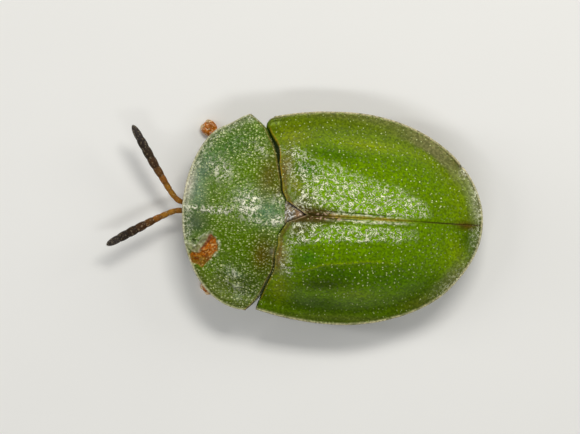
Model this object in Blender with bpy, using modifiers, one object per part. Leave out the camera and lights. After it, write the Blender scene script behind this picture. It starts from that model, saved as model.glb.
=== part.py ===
# Green tortoise beetle, life size, standing still with its feelers forward.
# The head points to -X, the animal's right side is +Y, up is +Z and the feet stand at z = 0.
# All sizes are in metres. Run with: blender --background --python part.py

import math

import bmesh
import bpy
import numpy as np
from mathutils import Vector

mm = 0.001

# Driving dimensions
gap = 0.1 * mm                    # between neighbouring pieces
joint_gap = 0.05 * mm             # between the joints of a leg
nose_x = -3.65 * mm               # front edge of the neck shield
tail_x = 3.64 * mm                # tip of the wing covers
shoulder_x = -2.0 * mm            # hind corners of the neck shield
shield_half_width = 2.40 * mm
cover_wide_x = 0.2 * mm           # where the wing covers are widest
cover_half_width = 2.55 * mm
cover_front_reach = 4.4 * mm      # how slowly the covers narrow towards the shoulders
rim_mid_height = 1.03 * mm        # top of the rim above the floor, halfway along
rim_slope = -0.03                 # the rim sinks a little towards the tail
hind_margin_x = -1.21 * mm        # hind edge of the neck shield, on the midline
hind_margin_sweep = 0.20          # how fast that edge runs forward to the sides
hind_margin_hook = 0.25 * mm      # how far its corners hook forward more
hind_margin_hook_power = 6
shell_thickness = 0.30 * mm
rim_thickness_share = 0.6         # the rim's thickness as a share of the shell's
dome_height = 1.60 * mm           # top of the wing covers above the rim
shield_height = 1.05 * mm         # top of the neck shield above the rim, at the shoulders
shield_rise = 0.36                # how fast it climbs towards the wing covers
scutellum_width = 0.41 * mm
scutellum_tip_x = -0.73 * mm
scutellum_thickness = 0.30 * mm
scutellum_sink = 0.05 * mm        # its top below the top of the wing covers

# The brim is the flat margin, and the disc is the vault inside it. A vault's two powers are its roundness
# on top and at its foot
brim_share = 0.30
cover_disc_rear = 2.98 * mm
cover_disc_side_share = 0.80
cover_vault_powers = (2.6, 0.9)
shield_disc_front = 1.22 * mm
shield_disc_side = 1.78 * mm
shield_vault_powers = (2.3, 1.15)

# The ridge along the suture drops forwards from its highest stretch
ridge_drop = 0.14
ridge_drop_from_x = -0.35 * mm
ridge_drop_reach = 0.9 * mm
ridge_drop_limit = 1.5

# Front corner of a wing cover
cover_corner_x = -1.6 * mm
cover_corner_round = 0.12 * mm
cover_corner_power = 10

# Fineness of the plates, as rows across and along
shield_rows = (26, 14)
cover_rows = (15, 24)
weld_distance = 0.002 * mm
slope_step = 0.02 * mm
sharp_angle = 40                  # degrees
edge_share = 1e-6                 # how near 0 or 1 a share counts as the edge

# The trunk under the shell, cut into three
trunk_front_x = -2.42 * mm
trunk_rear_x = 2.62 * mm
neck_cut_x = -1.42 * mm
waist_cut_x = 0.05 * mm
trunk_side_height = 0.96 * mm
trunk_bottom = 0.70 * mm
trunk_wide_x = 0.45 * mm
trunk_half_width = 1.75 * mm
trunk_least_width = 0.1 * mm
trunk_rear_taper = 0.35           # share of the width lost at the tail
trunk_front_taper = 0.62          # and at the neck
trunk_clearance = shell_thickness + 1.3 * gap
trunk_front_round = 0.35 * mm     # length over which the belly rises at the neck
trunk_rear_round = 0.6 * mm       # and at the tail
trunk_end_depth = 0.4             # share of the belly's depth left at both ends
trunk_roof_power = 0.3            # how square the ring is above
trunk_belly_power = 0.7           # and below
trunk_sides = 24
trunk_row_length = 0.12 * mm
trunk_least_rows = 6
width_samples = 90
belly_rings = 5
belly_ring_depth = 0.035 * mm
belly_ring_share = 0.12           # half the width of a groove, as a share of a ring

# Head and eyes
head_centre = Vector((-2.86, 0.0, 0.72)) * mm
head_radii = Vector((0.38, 0.46, 0.29)) * mm
eye_offset = Vector((-0.03, 0.41, 0.02)) * mm
eye_radii = Vector((0.19, 0.12, 0.19)) * mm
mouth_offset = Vector((0.05, 0.0, -0.22)) * mm
mouth_radii = Vector((0.22, 0.26, 0.17)) * mm
jaw = {"root": (0.14, 0.07, -0.26), "reach": (0.10, -0.02, -0.16), "radii": (0.09, 0.03)}
palp = {"root": (0.16, 0.18, -0.22), "reach": (0.16, 0.07, -0.12), "radii": (0.06, 0.025)}

# Feelers: 11 joints, slim at first and club-shaped beyond the sixth
feeler_joints = 11
feeler_steps = 3                  # rings to a joint
feeler_pinch = 0.86               # waist between two joints
feeler_club_from = 6
feeler_club_growth = 2.0          # joints over which the club thickens
feeler_club_lead = 0.75           # share of that growth already reached at the sixth joint
feeler_tip_length = 1.5           # joints over which the tip narrows
feeler_stem_radius = 0.13 * mm
feeler_club_radius = 0.18 * mm
feeler_tip_radius = 0.06 * mm
feeler_routes = {
    "right": [(-3.31, 0.19, 0.62), (-3.73, 0.23, 0.64), (-4.33, 0.81, 0.74), (-5.01, 1.91, 0.82)],
    "left": [(-3.31, -0.19, 0.62), (-3.74, -0.19, 0.64), (-4.47, -0.42, 0.72), (-5.46, -1.04, 0.78)],
}

# Legs: hip, knee, ankle and toe of each, in millimetres
leg_points = {
    "front_right": [(-2.00, 0.30, 0.45), (-2.12, 1.42, 0.47), (-2.72, 1.58, 0.24), (-3.27, 2.07, 0.10)],
    "front_left": [(-2.00, -0.30, 0.45), (-2.06, -1.40, 0.47), (-2.52, -1.50, 0.24), (-3.02, -2.00, 0.10)],
    "middle_right": [(-0.98, 0.36, 0.45), (-1.36, 1.44, 0.47), (-0.78, 1.72, 0.24), (-0.44, 2.30, 0.10)],
    "middle_left": [(-0.98, -0.36, 0.45), (-1.32, -1.44, 0.47), (-0.80, -1.74, 0.24), (-0.50, -2.32, 0.10)],
    "hind_right": [(-0.22, 0.42, 0.45), (0.42, 1.42, 0.47), (1.18, 1.64, 0.24), (1.84, 1.86, 0.10)],
    "hind_left": [(-0.22, -0.42, 0.45), (0.46, -1.42, 0.47), (1.22, -1.62, 0.24), (1.88, -1.82, 0.10)],
}
hip_radius = 0.19 * mm
hip_rise = 0.16 * mm
femur_root_radius = 0.12 * mm
femur_radius = 0.20 * mm
knee_radius = 0.13 * mm
tibia_radius = 0.16 * mm
ankle_radius = 0.14 * mm
limb_swell_power = 0.7
limb_stations = (0.12, 0.3, 0.5, 0.7, 0.88)
limb_end_lifts = (4, 31, 58, 85)  # degrees round the rounded end of a limb
overlap = 0.02 * mm

# A foot: pads as share of the foot's length, sideways place, half length, half width, half height and lift
foot_pads = [
    (0.40, 0.0, 0.15, 0.14, 0.15, 0.12),
    (0.58, 0.0, 0.14, 0.17, 0.14, 0.10),
    (0.79, -0.09, 0.19, 0.13, 0.13, 0.09),
    (0.79, 0.09, 0.19, 0.13, 0.13, 0.09),
]
claw_stalk = {"ends": [(0.72, 0.15), (0.97, 0.13)], "radii": (0.06, 0.08)}   # ends as share and lift
claw = {"root_back": 0.03, "root_side": 0.03, "tip_side": 0.10, "tip_drop": 0.04, "radii": (0.05, 0.02)}
claw_sides = 6
route_samples = 24


def smooth_power(value, inner, outer):
    """(1 - value**inner) ** outer inside the unit range, and 0 beyond it."""
    return np.clip(1.0 - np.abs(value) ** inner, 0.0, 1.0) ** outer


def rim_height(x):
    """Top of the rim above the floor."""
    return rim_mid_height + rim_slope * x


def hind_margin(y):
    """The neck shield's hind edge: straight, swept forward, and hooked at the corners."""
    side = np.abs(y)
    hook = hind_margin_hook * (side / shield_half_width) ** hind_margin_hook_power
    return hind_margin_x - hind_margin_sweep * side - hook


def shield_front(y):
    """The neck shield's front edge, half an ellipse between its hind corners."""
    reach = shoulder_x - nose_x
    return shoulder_x - reach * np.sqrt(np.clip(1.0 - (y / shield_half_width) ** 2, 0.0, 1.0))


def cover_width(x):
    """Half the width of both wing covers together: one ellipse behind and a longer one in front."""
    reach = np.where(x > cover_wide_x, tail_x - cover_wide_x, cover_front_reach)
    return cover_half_width * np.sqrt(np.clip(1.0 - ((x - cover_wide_x) / reach) ** 2, 0.0, 1.0))


def shield_top(x, y):
    """Height of the neck shield: a low brim all round and a vault that climbs backwards."""
    ahead = np.minimum(x - shoulder_x, 0.0)
    edge = np.hypot(ahead / (shoulder_x - nose_x), y / shield_half_width)
    disc = np.hypot(ahead / shield_disc_front, y / shield_disc_side)
    height = shield_height + shield_rise * (x - shoulder_x)
    brim = brim_share * np.clip(1.0 - edge ** 2, 0.0, 1.0)
    vault = (1.0 - brim_share) * smooth_power(disc, *shield_vault_powers)
    return rim_height(x) + height * (brim + vault)


def cover_ridge(x):
    """How high the covers stand along the suture in front of their highest point."""
    ahead = np.clip((ridge_drop_from_x - x) / ridge_drop_reach, 0.0, ridge_drop_limit)
    return dome_height * (1.0 - ridge_drop * ahead ** 2)


def cover_top(x, y):
    """Height of the wing covers: a brim, and a steeper vault inside it."""
    behind = np.maximum(x - cover_wide_x, 0.0)
    edge = np.hypot(behind / (tail_x - cover_wide_x), y / cover_half_width)
    side = np.where(x > cover_wide_x, cover_half_width, cover_width(x)) * cover_disc_side_share
    disc = np.hypot(behind / cover_disc_rear, y / side)
    brim = brim_share * np.clip(1.0 - edge ** 2, 0.0, 1.0)
    vault = (1.0 - brim_share) * smooth_power(disc, *cover_vault_powers)
    return rim_height(x) + cover_ridge(x) * (brim + vault)


def under_shell(top, x, y, depth):
    """Height of a point that lies depth below the surface top, measured square to it."""
    step = slope_step
    slope_x = (top(x + step, y) - top(x - step, y)) / (2 * step)
    slope_y = (top(x, y + step) - top(x, y - step)) / (2 * step)
    return top(x, y) - depth * np.sqrt(1.0 + slope_x ** 2 + slope_y ** 2)


def material(name, colour, roughness):
    """A plain Principled material."""
    made = bpy.data.materials.new(name)
    made.use_nodes = True
    shader = made.node_tree.nodes["Principled BSDF"]
    shader.inputs["Base Color"].default_value = (*colour, 1.0)
    shader.inputs["Roughness"].default_value = roughness
    shader.inputs["Metallic"].default_value = 0.0
    return made


def add_object(name, data, finish, collection):
    """Puts a mesh or a curve in the scene as the object called name."""
    made = bpy.data.objects.new(name, data)
    data.materials.clear()
    data.materials.append(finish)
    collection.objects.link(made)
    return made


def mesh_from(build, name):
    """Turns a bmesh into a smooth mesh that keeps its sharp edges."""
    mesh = bpy.data.meshes.new(name)
    build.to_mesh(mesh)
    build.free()
    mesh.shade_smooth()
    mesh.set_sharp_from_angle(angle=math.radians(sharp_angle))
    return mesh


def plate(name, place, rows, finish, collection):
    """A shell plate: a grid laid out by place(s, t), thickened downwards and thinner at its rim."""
    across, along = rows
    build = bmesh.new()
    bmesh.ops.create_grid(build, x_segments=along, y_segments=across, size=0.5)
    rim_verts = set()
    for vert in build.verts:
        s = vert.co.x + 0.5
        t = vert.co.y + 0.5
        point, on_rim = place(s, t)
        vert.co = Vector(point)
        if on_rim:
            rim_verts.add(vert.index)
    mesh = mesh_from(build, name)
    made = add_object(name, mesh, finish, collection)
    thick = made.vertex_groups.new(name="thick")
    thick.add([v.index for v in mesh.vertices if v.index not in rim_verts], 1.0, "REPLACE")
    weld = made.modifiers.new("weld", "WELD")
    weld.merge_threshold = weld_distance
    solid = made.modifiers.new("solid", "SOLIDIFY")
    solid.thickness = shell_thickness
    solid.offset = -1.0
    solid.use_even_offset = False
    solid.vertex_group = "thick"
    solid.thickness_vertex_group = rim_thickness_share
    return made


def neck_shield(finish, collection):
    """The pronotum, which hides the head."""

    def place(s, t):
        y = shield_half_width * math.sin(math.pi * (t - 0.5))
        front = float(shield_front(y))
        x = front + (float(hind_margin(y)) - front) * s
        edge = min(s, t, 1.0 - t) < edge_share
        return (x, y, float(shield_top(x, y))), edge

    plate("pronotum", place, shield_rows, finish, collection)


def wing_cover(name, side, finish, collection):
    """One elytron, from the suture to its rim, with a notch for the scutellum."""
    notch_slope = (scutellum_tip_x - (hind_margin_x + gap)) / (scutellum_width / 2)
    notch_shift = gap * math.hypot(1.0, notch_slope)

    def front_line(y):
        notch = scutellum_tip_x + notch_shift - notch_slope * y
        return max(float(hind_margin(y)) + gap, notch)

    def place(s, t):
        across = t if side > 0 else 1.0 - t
        start_y = across * float(cover_width(np.float64(cover_corner_x)))
        start_x = front_line(start_y) + cover_corner_round * across ** cover_corner_power
        x = start_x + (tail_x - start_x) * math.sin(0.5 * math.pi * s)
        y = gap / 2 + across * max(float(cover_width(np.float64(x))) - gap / 2, 0.0)
        edge = max(across, s) > 1.0 - edge_share
        return (x, side * y, float(cover_top(x, y))), edge

    plate(name, place, cover_rows, finish, collection)


def scutellum(finish, collection):
    """The small triangle between the bases of the wing covers."""
    base_x = hind_margin_x + gap
    curve = bpy.data.curves.new("scutellum", "CURVE")
    curve.dimensions = "2D"
    curve.fill_mode = "BOTH"
    curve.extrude = scutellum_thickness / 2
    spline = curve.splines.new("POLY")
    corners = [(0.0, -scutellum_width / 2), (scutellum_tip_x - base_x, 0.0), (0.0, scutellum_width / 2)]
    spline.points.add(len(corners) - 1)
    for point, corner in zip(spline.points, corners):
        point.co = (*corner, 0.0, 1.0)
    spline.use_cyclic_u = True
    made = add_object("scutellum", curve, finish, collection)
    depth = scutellum_sink + scutellum_thickness / 2
    height = float(cover_top(base_x, 0.0)) - depth
    tip_height = float(cover_top(scutellum_tip_x, 0.0)) - depth
    made.location = (base_x, 0.0, height)
    made.rotation_euler = (0.0, -math.atan2(tip_height - height, scutellum_tip_x - base_x), 0.0)


def trunk_width(x):
    """Half the trunk's width along its length, as wide as the shell above leaves room for."""
    behind = np.clip((x - trunk_wide_x) / (trunk_rear_x - trunk_wide_x), 0.0, 1.0)
    ahead = np.clip((trunk_wide_x - x) / (trunk_wide_x - trunk_front_x), 0.0, 1.0)
    limit = trunk_half_width * (1.0 - trunk_rear_taper * behind ** 3) * (1.0 - trunk_front_taper * ahead ** 2)
    across = np.linspace(0.0, limit, width_samples)
    room = across[trunk_roof(x, across) > trunk_side_height]
    return room[-1] if len(room) else trunk_least_width


def trunk_roof(x, y):
    """Highest that the trunk may stand under the shell."""
    top = shield_top if x < hind_margin_x else cover_top
    return under_shell(top, x, y, trunk_clearance)


def trunk_ring(x, sides):
    """One ring of the trunk: flat-bellied, and vaulted under the shell."""
    width = trunk_width(x)
    end = min((x - trunk_front_x) / trunk_front_round, (trunk_rear_x - x) / trunk_rear_round, 1.0)
    fullness = trunk_end_depth + (1.0 - trunk_end_depth) * math.sqrt(max(end, 0.0))
    depth = (trunk_side_height - trunk_bottom) * fullness
    if x > waist_cut_x:
        ring = (x - waist_cut_x) / (trunk_rear_x - waist_cut_x) * belly_rings
        depth -= belly_ring_depth * (abs(ring - round(ring)) < belly_ring_share)
    points = []
    for k in range(sides):
        turn = 2 * math.pi * k / sides
        y = width * math.cos(turn)
        rise = math.sin(turn)
        if rise > 0:
            z = trunk_side_height + (float(trunk_roof(x, y)) - trunk_side_height) * rise ** trunk_roof_power
        else:
            z = trunk_side_height - depth * abs(rise) ** trunk_belly_power
        points.append((x, y, z))
    return points


def loft(name, rings):
    """A closed skin over rings of points, which differ in shape, with a fan at each end."""
    build = bmesh.new()
    loops = [[build.verts.new(p) for p in ring] for ring in rings]
    count = len(loops[0])
    for first, second in zip(loops, loops[1:]):
        for k in range(count):
            after = (k + 1) % count
            build.faces.new((first[k], first[after], second[after], second[k]))
    for loop in (loops[0], loops[-1]):
        centre = sum((v.co for v in loop), Vector()) / count
        hub = build.verts.new(centre)
        for k in range(count):
            build.faces.new((loop[k], loop[(k + 1) % count], hub))
    bmesh.ops.recalc_face_normals(build, faces=build.faces)
    return build


def trunk_piece(name, start, end, finish, collection, hips=()):
    """A length of the trunk between two straight cuts, with the hips of the legs it carries."""
    rows = max(int((end - start) / trunk_row_length), trunk_least_rows)
    rings = [trunk_ring(start + (end - start) * k / rows, trunk_sides) for k in range(rows + 1)]
    mesh = mesh_from(loft(name, rings), name)
    made = add_object(name, mesh, finish, collection)
    if hips:
        balls = [ellipsoid(hip, Vector((1, 1, 1)) * hip_radius, 12, 8) for hip in hips]
        boolean(made, balls, "UNION")


def ellipsoid(centre, radii, around, rows, turn=0.0):
    """A mesh ball stretched to radii and turned about the upright axis."""
    build = bmesh.new()
    bmesh.ops.create_uvsphere(build, u_segments=around, v_segments=rows, radius=1.0)
    for vert in build.verts:
        vert.co = Vector((vert.co.x * radii.x, vert.co.y * radii.y, vert.co.z * radii.z))
        vert.co.rotate(Vector((math.cos(turn), math.sin(turn), 0.0)).to_track_quat("X", "Z"))
        vert.co += centre
    return mesh_from(build, "ball")


def taper(start, end, start_radius, end_radius, sides=8):
    """A closed cone between two points."""
    build = bmesh.new()
    axis = end - start
    bmesh.ops.create_cone(build, cap_ends=True, segments=sides, radius1=start_radius,
                          radius2=end_radius, depth=axis.length)
    for vert in build.verts:
        vert.co.rotate(axis.to_track_quat("Z", "Y"))
        vert.co += (start + end) / 2
    return mesh_from(build, "cone")


def boolean(made, meshes, operation):
    """Joins closed meshes to an object, or cuts them from it, in one applied Boolean."""
    tools = bpy.data.collections.new("tools")
    bpy.context.scene.collection.children.link(tools)
    for mesh in meshes:
        tools.objects.link(bpy.data.objects.new("tool", mesh))
    change = made.modifiers.new("change", "BOOLEAN")
    change.operation = operation
    change.operand_type = "COLLECTION"
    change.collection = tools
    change.solver = "EXACT"
    bpy.context.view_layer.update()
    result = bpy.data.meshes.new_from_object(made.evaluated_get(bpy.context.evaluated_depsgraph_get()))
    made.modifiers.clear()
    result.name = made.name
    made.data = result
    for tool in list(tools.objects):
        bpy.data.objects.remove(tool)
    bpy.data.collections.remove(tools)
    keep_largest(made)


def keep_largest(made):
    """Drops every loose scrap but the largest surface."""
    build = bmesh.new()
    build.from_mesh(made.data)
    bmesh.ops.remove_doubles(build, verts=build.verts, dist=weld_distance / 4)
    left = set(build.verts)
    groups = []
    while left:
        group = set()
        front = [left.pop()]
        while front:
            vert = front.pop()
            group.add(vert)
            near = [e.other_vert(vert) for e in vert.link_edges]
            fresh = [v for v in near if v in left]
            left.difference_update(fresh)
            front.extend(fresh)
        groups.append(group)
    groups.sort(key=len, reverse=True)
    for group in groups[1:]:
        bmesh.ops.delete(build, geom=list(group), context="VERTS")
    build.to_mesh(made.data)
    build.free()


def head(finish, collection):
    """The head capsule with its mouth below, and a socket for each eye."""
    mesh = ellipsoid(head_centre, head_radii, 20, 12)
    made = add_object("head", mesh, finish, collection)
    extras = [ellipsoid(head_centre + mouth_offset, mouth_radii, 16, 8)]
    for mirror in (Vector((1, -1, 1)), Vector((1, 1, 1))):
        for part in (jaw, palp):
            root = head_centre + Vector(part["root"]) * mirror * mm
            tip = root + Vector(part["reach"]) * mirror * mm
            extras.append(taper(root, tip, *(radius * mm for radius in part["radii"])))
    boolean(made, extras, "UNION")
    sockets = []
    for side in (-1, 1):
        centre = head_centre + Vector((eye_offset.x, eye_offset.y * side, eye_offset.z))
        sockets.append(ellipsoid(centre, eye_radii + Vector((gap, gap, gap)), 16, 10))
    boolean(made, sockets, "DIFFERENCE")


def eyes(finish, collection):
    """The compound eyes at the sides of the head."""
    for name, side in (("eye_right", 1), ("eye_left", -1)):
        centre = head_centre + Vector((eye_offset.x, eye_offset.y * side, eye_offset.z))
        add_object(name, ellipsoid(centre, eye_radii, 16, 10), finish, collection)


def curved_route(points, count):
    """Points evenly spaced along a smooth curve through the given ones."""
    knots = np.array(points, dtype=float)
    padded = np.vstack([2 * knots[0] - knots[1], knots, 2 * knots[-1] - knots[-2]])
    dense = []
    for a, b, c, d in zip(padded, padded[1:], padded[2:], padded[3:]):
        for u in np.linspace(0.0, 1.0, route_samples, endpoint=False):
            dense.append(0.5 * (2 * b + (c - a) * u + (2 * a - 5 * b + 4 * c - d) * u ** 2
                                + (3 * b - a - 3 * c + d) * u ** 3))
    dense.append(knots[-1])
    dense = np.array(dense)
    length = np.concatenate([[0.0], np.cumsum(np.linalg.norm(np.diff(dense, axis=0), axis=1))])
    wanted = np.linspace(0.0, length[-1], count)
    return np.column_stack([np.interp(wanted, length, dense[:, k]) for k in range(3)])


def tube(name, points, radii, finish, collection, resolution=2):
    """A tube with a radius at each of its points and filled caps."""
    curve = bpy.data.curves.new(name, "CURVE")
    curve.dimensions = "3D"
    curve.bevel_depth = 1.0
    curve.bevel_resolution = resolution
    curve.use_fill_caps = True
    spline = curve.splines.new("POLY")
    spline.points.add(len(points) - 1)
    for knot, point, radius in zip(spline.points, points, radii):
        knot.co = (*point, 1.0)
        knot.radius = radius
    return add_object(name, curve, finish, collection)


def feeler(side, finish, collection):
    """One antenna, beaded joint by joint, with a club and a tapering tip."""
    count = feeler_joints * feeler_steps + 1
    points = curved_route(feeler_routes[side], count) * mm
    radii = []
    for k in range(count):
        joint = k / feeler_steps
        club = min(max((joint - feeler_club_from) / feeler_club_growth + feeler_club_lead, 0.0), 1.0)
        radius = feeler_stem_radius + (feeler_club_radius - feeler_stem_radius) * club
        end = max(joint - feeler_joints + feeler_tip_length, 0.0) / feeler_tip_length
        radius += (feeler_tip_radius - radius) * end ** 2
        waist = k % feeler_steps == 0 and 0 < k < count - 1
        radii.append(radius * (feeler_pinch if waist else 1.0))
    tube("antenna_" + side, points, radii, finish, collection)


def setback(radius, before, joint, after):
    """How far a rounded end stops short of a joint, so that it clears the next piece by the gap."""
    bend = (joint - before).angle(after - joint)
    return (2 * radius + joint_gap) / (2 * math.cos(bend / 2))


def limb(name, start, end, start_radius, middle_radius, end_radius, finish, collection):
    """A leg joint: a spindle with rounded ends whose centres are start and end."""
    axis = end - start
    along = axis.normalized()
    points, radii = [], []
    for degrees in reversed(limb_end_lifts):
        lift = math.radians(degrees)
        points.append(start - along * start_radius * math.sin(lift))
        radii.append(start_radius * math.cos(lift))
    for share in limb_stations:
        swell = math.sin(math.pi * share) ** limb_swell_power
        base = start_radius + (end_radius - start_radius) * share
        points.append(start + axis * share)
        radii.append(base + (middle_radius - base) * swell)
    for degrees in limb_end_lifts:
        lift = math.radians(degrees)
        points.append(end + along * end_radius * math.sin(lift))
        radii.append(end_radius * math.cos(lift))
    tube(name, points, radii, finish, collection)


def foot(name, ankle, toe, finish, collection):
    """A tarsus: two small pads, a wide two-lobed one, and the last joint with its two claws."""
    flat = Vector((toe.x - ankle.x, toe.y - ankle.y, 0.0))
    ahead = flat.normalized()
    across = Vector((-ahead.y, ahead.x, 0.0))
    turn = math.atan2(ahead.y, ahead.x)
    length = flat.length
    ground = Vector((ankle.x, ankle.y, 0.0))

    def spot(share, sideways, lift):
        return ground + ahead * length * share + across * sideways * mm + Vector((0.0, 0.0, lift)) * mm

    pieces = []
    for share, sideways, long, wide, high, lift in foot_pads:
        pieces.append(ellipsoid(spot(share, sideways, lift), Vector((long, wide, high)) * mm, 12, 6, turn))
    made = add_object(name, pieces.pop(0), finish, collection)
    stalk_start, stalk_end = (spot(share, 0.0, lift) for share, lift in claw_stalk["ends"])
    pieces.append(taper(stalk_start, stalk_end, *(radius * mm for radius in claw_stalk["radii"])))
    for side in (-1, 1):
        start = stalk_end - ahead * claw["root_back"] * mm + across * side * claw["root_side"] * mm
        tip = toe + across * side * claw["tip_side"] * mm - Vector((0.0, 0.0, claw["tip_drop"])) * mm
        pieces.append(taper(start, tip, *(radius * mm for radius in claw["radii"]), claw_sides))
    boolean(made, pieces, "UNION")
    build = bmesh.new()
    build.from_mesh(made.data)
    everything = list(build.verts) + list(build.edges) + list(build.faces)
    bmesh.ops.bisect_plane(build, geom=everything, plane_co=(0.0, 0.0, 0.0), plane_no=(0.0, 0.0, -1.0),
                           clear_outer=True)
    rim = [e for e in build.edges if e.is_boundary]
    bmesh.ops.holes_fill(build, edges=rim, sides=0)
    bmesh.ops.recalc_face_normals(build, faces=build.faces)
    build.to_mesh(made.data)
    build.free()
    keep_largest(made)


def leg(name, finish, collection):
    """A leg in three pieces: femur, tibia and tarsus."""
    hip, knee, ankle, toe = (Vector(p) * mm for p in leg_points[name])
    thigh = (knee - hip).normalized()
    shin = (ankle - knee).normalized()
    knee_back = setback(knee_radius, hip, knee, ankle)
    femur_start = hip + thigh * (hip_radius + gap + femur_root_radius - overlap)
    limb("femur_" + name, femur_start, knee - thigh * knee_back, femur_root_radius, femur_radius,
         knee_radius, finish, collection)
    limb("tibia_" + name, knee + shin * knee_back, ankle - shin * overlap, knee_radius, tibia_radius,
         ankle_radius, finish, collection)
    foot("tarsus_" + name, ankle, toe, finish, collection)


def recentre(collection):
    """Moves the whole model so that the middle of its box is over the origin."""
    graph = bpy.context.evaluated_depsgraph_get()
    low = np.full(3, np.inf)
    high = np.full(3, -np.inf)
    for item in collection.objects:
        mesh = item.evaluated_get(graph).to_mesh()
        points = np.array([item.matrix_world @ v.co for v in mesh.vertices])
        low = np.minimum(low, points.min(axis=0))
        high = np.maximum(high, points.max(axis=0))
        item.evaluated_get(graph).to_mesh_clear()
    middle = (low + high) / 2
    for item in collection.objects:
        item.location.x -= middle[0]
        item.location.y -= middle[1]
    return middle, high - low


def main():
    for item in list(bpy.data.objects):
        bpy.data.objects.remove(item)
    beetle = bpy.data.collections.new("tortoise_beetle")
    bpy.context.scene.collection.children.link(beetle)
    shield_green = material("shield_green", (0.10, 0.26, 0.04), 0.35)
    cover_green = material("cover_green", (0.14, 0.30, 0.015), 0.30)
    brown = material("scutellum_brown", (0.28, 0.14, 0.07), 0.4)
    black = material("body_black", (0.015, 0.012, 0.010), 0.4)
    abdomen_dark = material("abdomen_dark", (0.05, 0.06, 0.02), 0.4)
    feeler_brown = material("feeler_brown", (0.16, 0.06, 0.02), 0.55)
    leg_amber = material("leg_amber", (0.42, 0.20, 0.05), 0.4)
    eye_dark = material("eye_dark", (0.01, 0.008, 0.006), 0.2)

    neck_shield(shield_green, beetle)
    wing_cover("elytron_right", 1, cover_green, beetle)
    wing_cover("elytron_left", -1, cover_green, beetle)
    scutellum(brown, beetle)
    lift = Vector((0.0, 0.0, hip_rise))
    hips = {name: Vector(points[0]) * mm + lift for name, points in leg_points.items()}
    trunk_piece("prothorax", trunk_front_x, neck_cut_x - gap / 2, black, beetle,
                [hips["front_right"], hips["front_left"]])
    trunk_piece("thorax", neck_cut_x + gap / 2, waist_cut_x - gap / 2, black, beetle,
                [hips[k] for k in ("middle_right", "middle_left", "hind_right", "hind_left")])
    trunk_piece("abdomen", waist_cut_x + gap / 2, trunk_rear_x, abdomen_dark, beetle)
    head(black, beetle)
    eyes(eye_dark, beetle)
    for side in feeler_routes:
        feeler(side, feeler_brown, beetle)
    for name in leg_points:
        leg(name, leg_amber, beetle)
    middle, size = recentre(beetle)
    print("box centre", middle, "size", size)


main()
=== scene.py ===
import bpy
import numpy as np
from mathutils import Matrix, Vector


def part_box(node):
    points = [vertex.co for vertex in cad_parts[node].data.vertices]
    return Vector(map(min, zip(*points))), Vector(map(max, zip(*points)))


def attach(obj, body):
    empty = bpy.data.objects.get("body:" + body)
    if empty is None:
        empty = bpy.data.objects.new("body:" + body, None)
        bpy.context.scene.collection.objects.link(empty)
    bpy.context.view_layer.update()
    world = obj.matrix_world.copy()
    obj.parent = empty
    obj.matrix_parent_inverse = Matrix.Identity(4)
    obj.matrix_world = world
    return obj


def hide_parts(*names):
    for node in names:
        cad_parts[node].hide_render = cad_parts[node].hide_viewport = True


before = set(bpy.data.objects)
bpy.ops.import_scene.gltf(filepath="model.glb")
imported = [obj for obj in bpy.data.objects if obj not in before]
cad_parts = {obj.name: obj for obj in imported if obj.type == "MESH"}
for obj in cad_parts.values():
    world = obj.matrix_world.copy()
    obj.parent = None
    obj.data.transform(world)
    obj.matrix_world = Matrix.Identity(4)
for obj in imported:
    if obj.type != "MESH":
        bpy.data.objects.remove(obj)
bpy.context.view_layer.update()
mm = 0.001

shell = {
    "noseX": -3.65, "tailX": 3.64, "shoulderX": -2.0,      # ends of the shell, and the shield's hind corners
    "shieldHalfWidth": 2.40, "coverHalfWidth": 2.55,
    "coverWideX": 0.2, "coverFrontReach": 4.4,             # widest place, and how slowly it narrows forwards
    "rimHeight": 1.03, "rimSlope": -0.03,
    "domeHeight": 1.60, "shieldHeight": 1.05, "shieldRise": 0.36,
    "brimShare": 0.30, "brimPower": 3.0,
    "coverDiscRear": 3.22, "coverDiscSide": 0.90, "coverVault": (2.45, 1.45),
    "shieldDiscFront": 1.40, "shieldDiscSide": 2.05, "shieldVault": (2.2, 1.6),
    "hindMarginX": -1.16, "thickness": 0.11, "rimThickness": 0.05,
}
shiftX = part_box("elytron_right")[1].x / mm - shell["tailX"]


# Numbers on whole arrays

def smoothStep(low, high, value):
    # 0 below low, 1 above high, and a soft s-curve between
    t = np.clip((value - low) / (high - low), 0.0, 1.0)
    return t * t * (3.0 - 2.0 * t)


def bell(value, width):
    # 1 where value is 0, and a soft fall to both sides
    return np.exp(-(value / width) ** 2)


def softNoise(x, y, cell, seed):
    # random values on a square lattice, joined by an s-curve: from -1 to 1
    table = np.random.default_rng(seed).uniform(-1.0, 1.0, (128, 128))
    column, row = np.floor(x / cell), np.floor(y / cell)
    u, v = x / cell - column, y / cell - row
    u, v = u * u * (3 - 2 * u), v * v * (3 - 2 * v)
    a, b = column.astype(int) % 128, row.astype(int) % 128
    c, d = (a + 1) % 128, (b + 1) % 128
    return (table[a, b] * (1 - u) + table[c, b] * u) * (1 - v) + (table[a, d] * (1 - u) + table[c, d] * u) * v


def wrinkleNoise(x, y, cell, seed):
    # thin crests where a bent noise crosses zero: from 0 to 1
    bentX = x + 0.6 * cell * softNoise(x, y, cell * 1.7, seed + 1)
    bentY = y + 0.6 * cell * softNoise(x, y, cell * 1.7, seed + 2)
    return (1.0 - np.abs(softNoise(bentX, bentY, cell, seed))) ** 4


def unit(vectors):
    return vectors / np.maximum(np.linalg.norm(vectors, axis=-1, keepdims=True), 1e-12)


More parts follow.
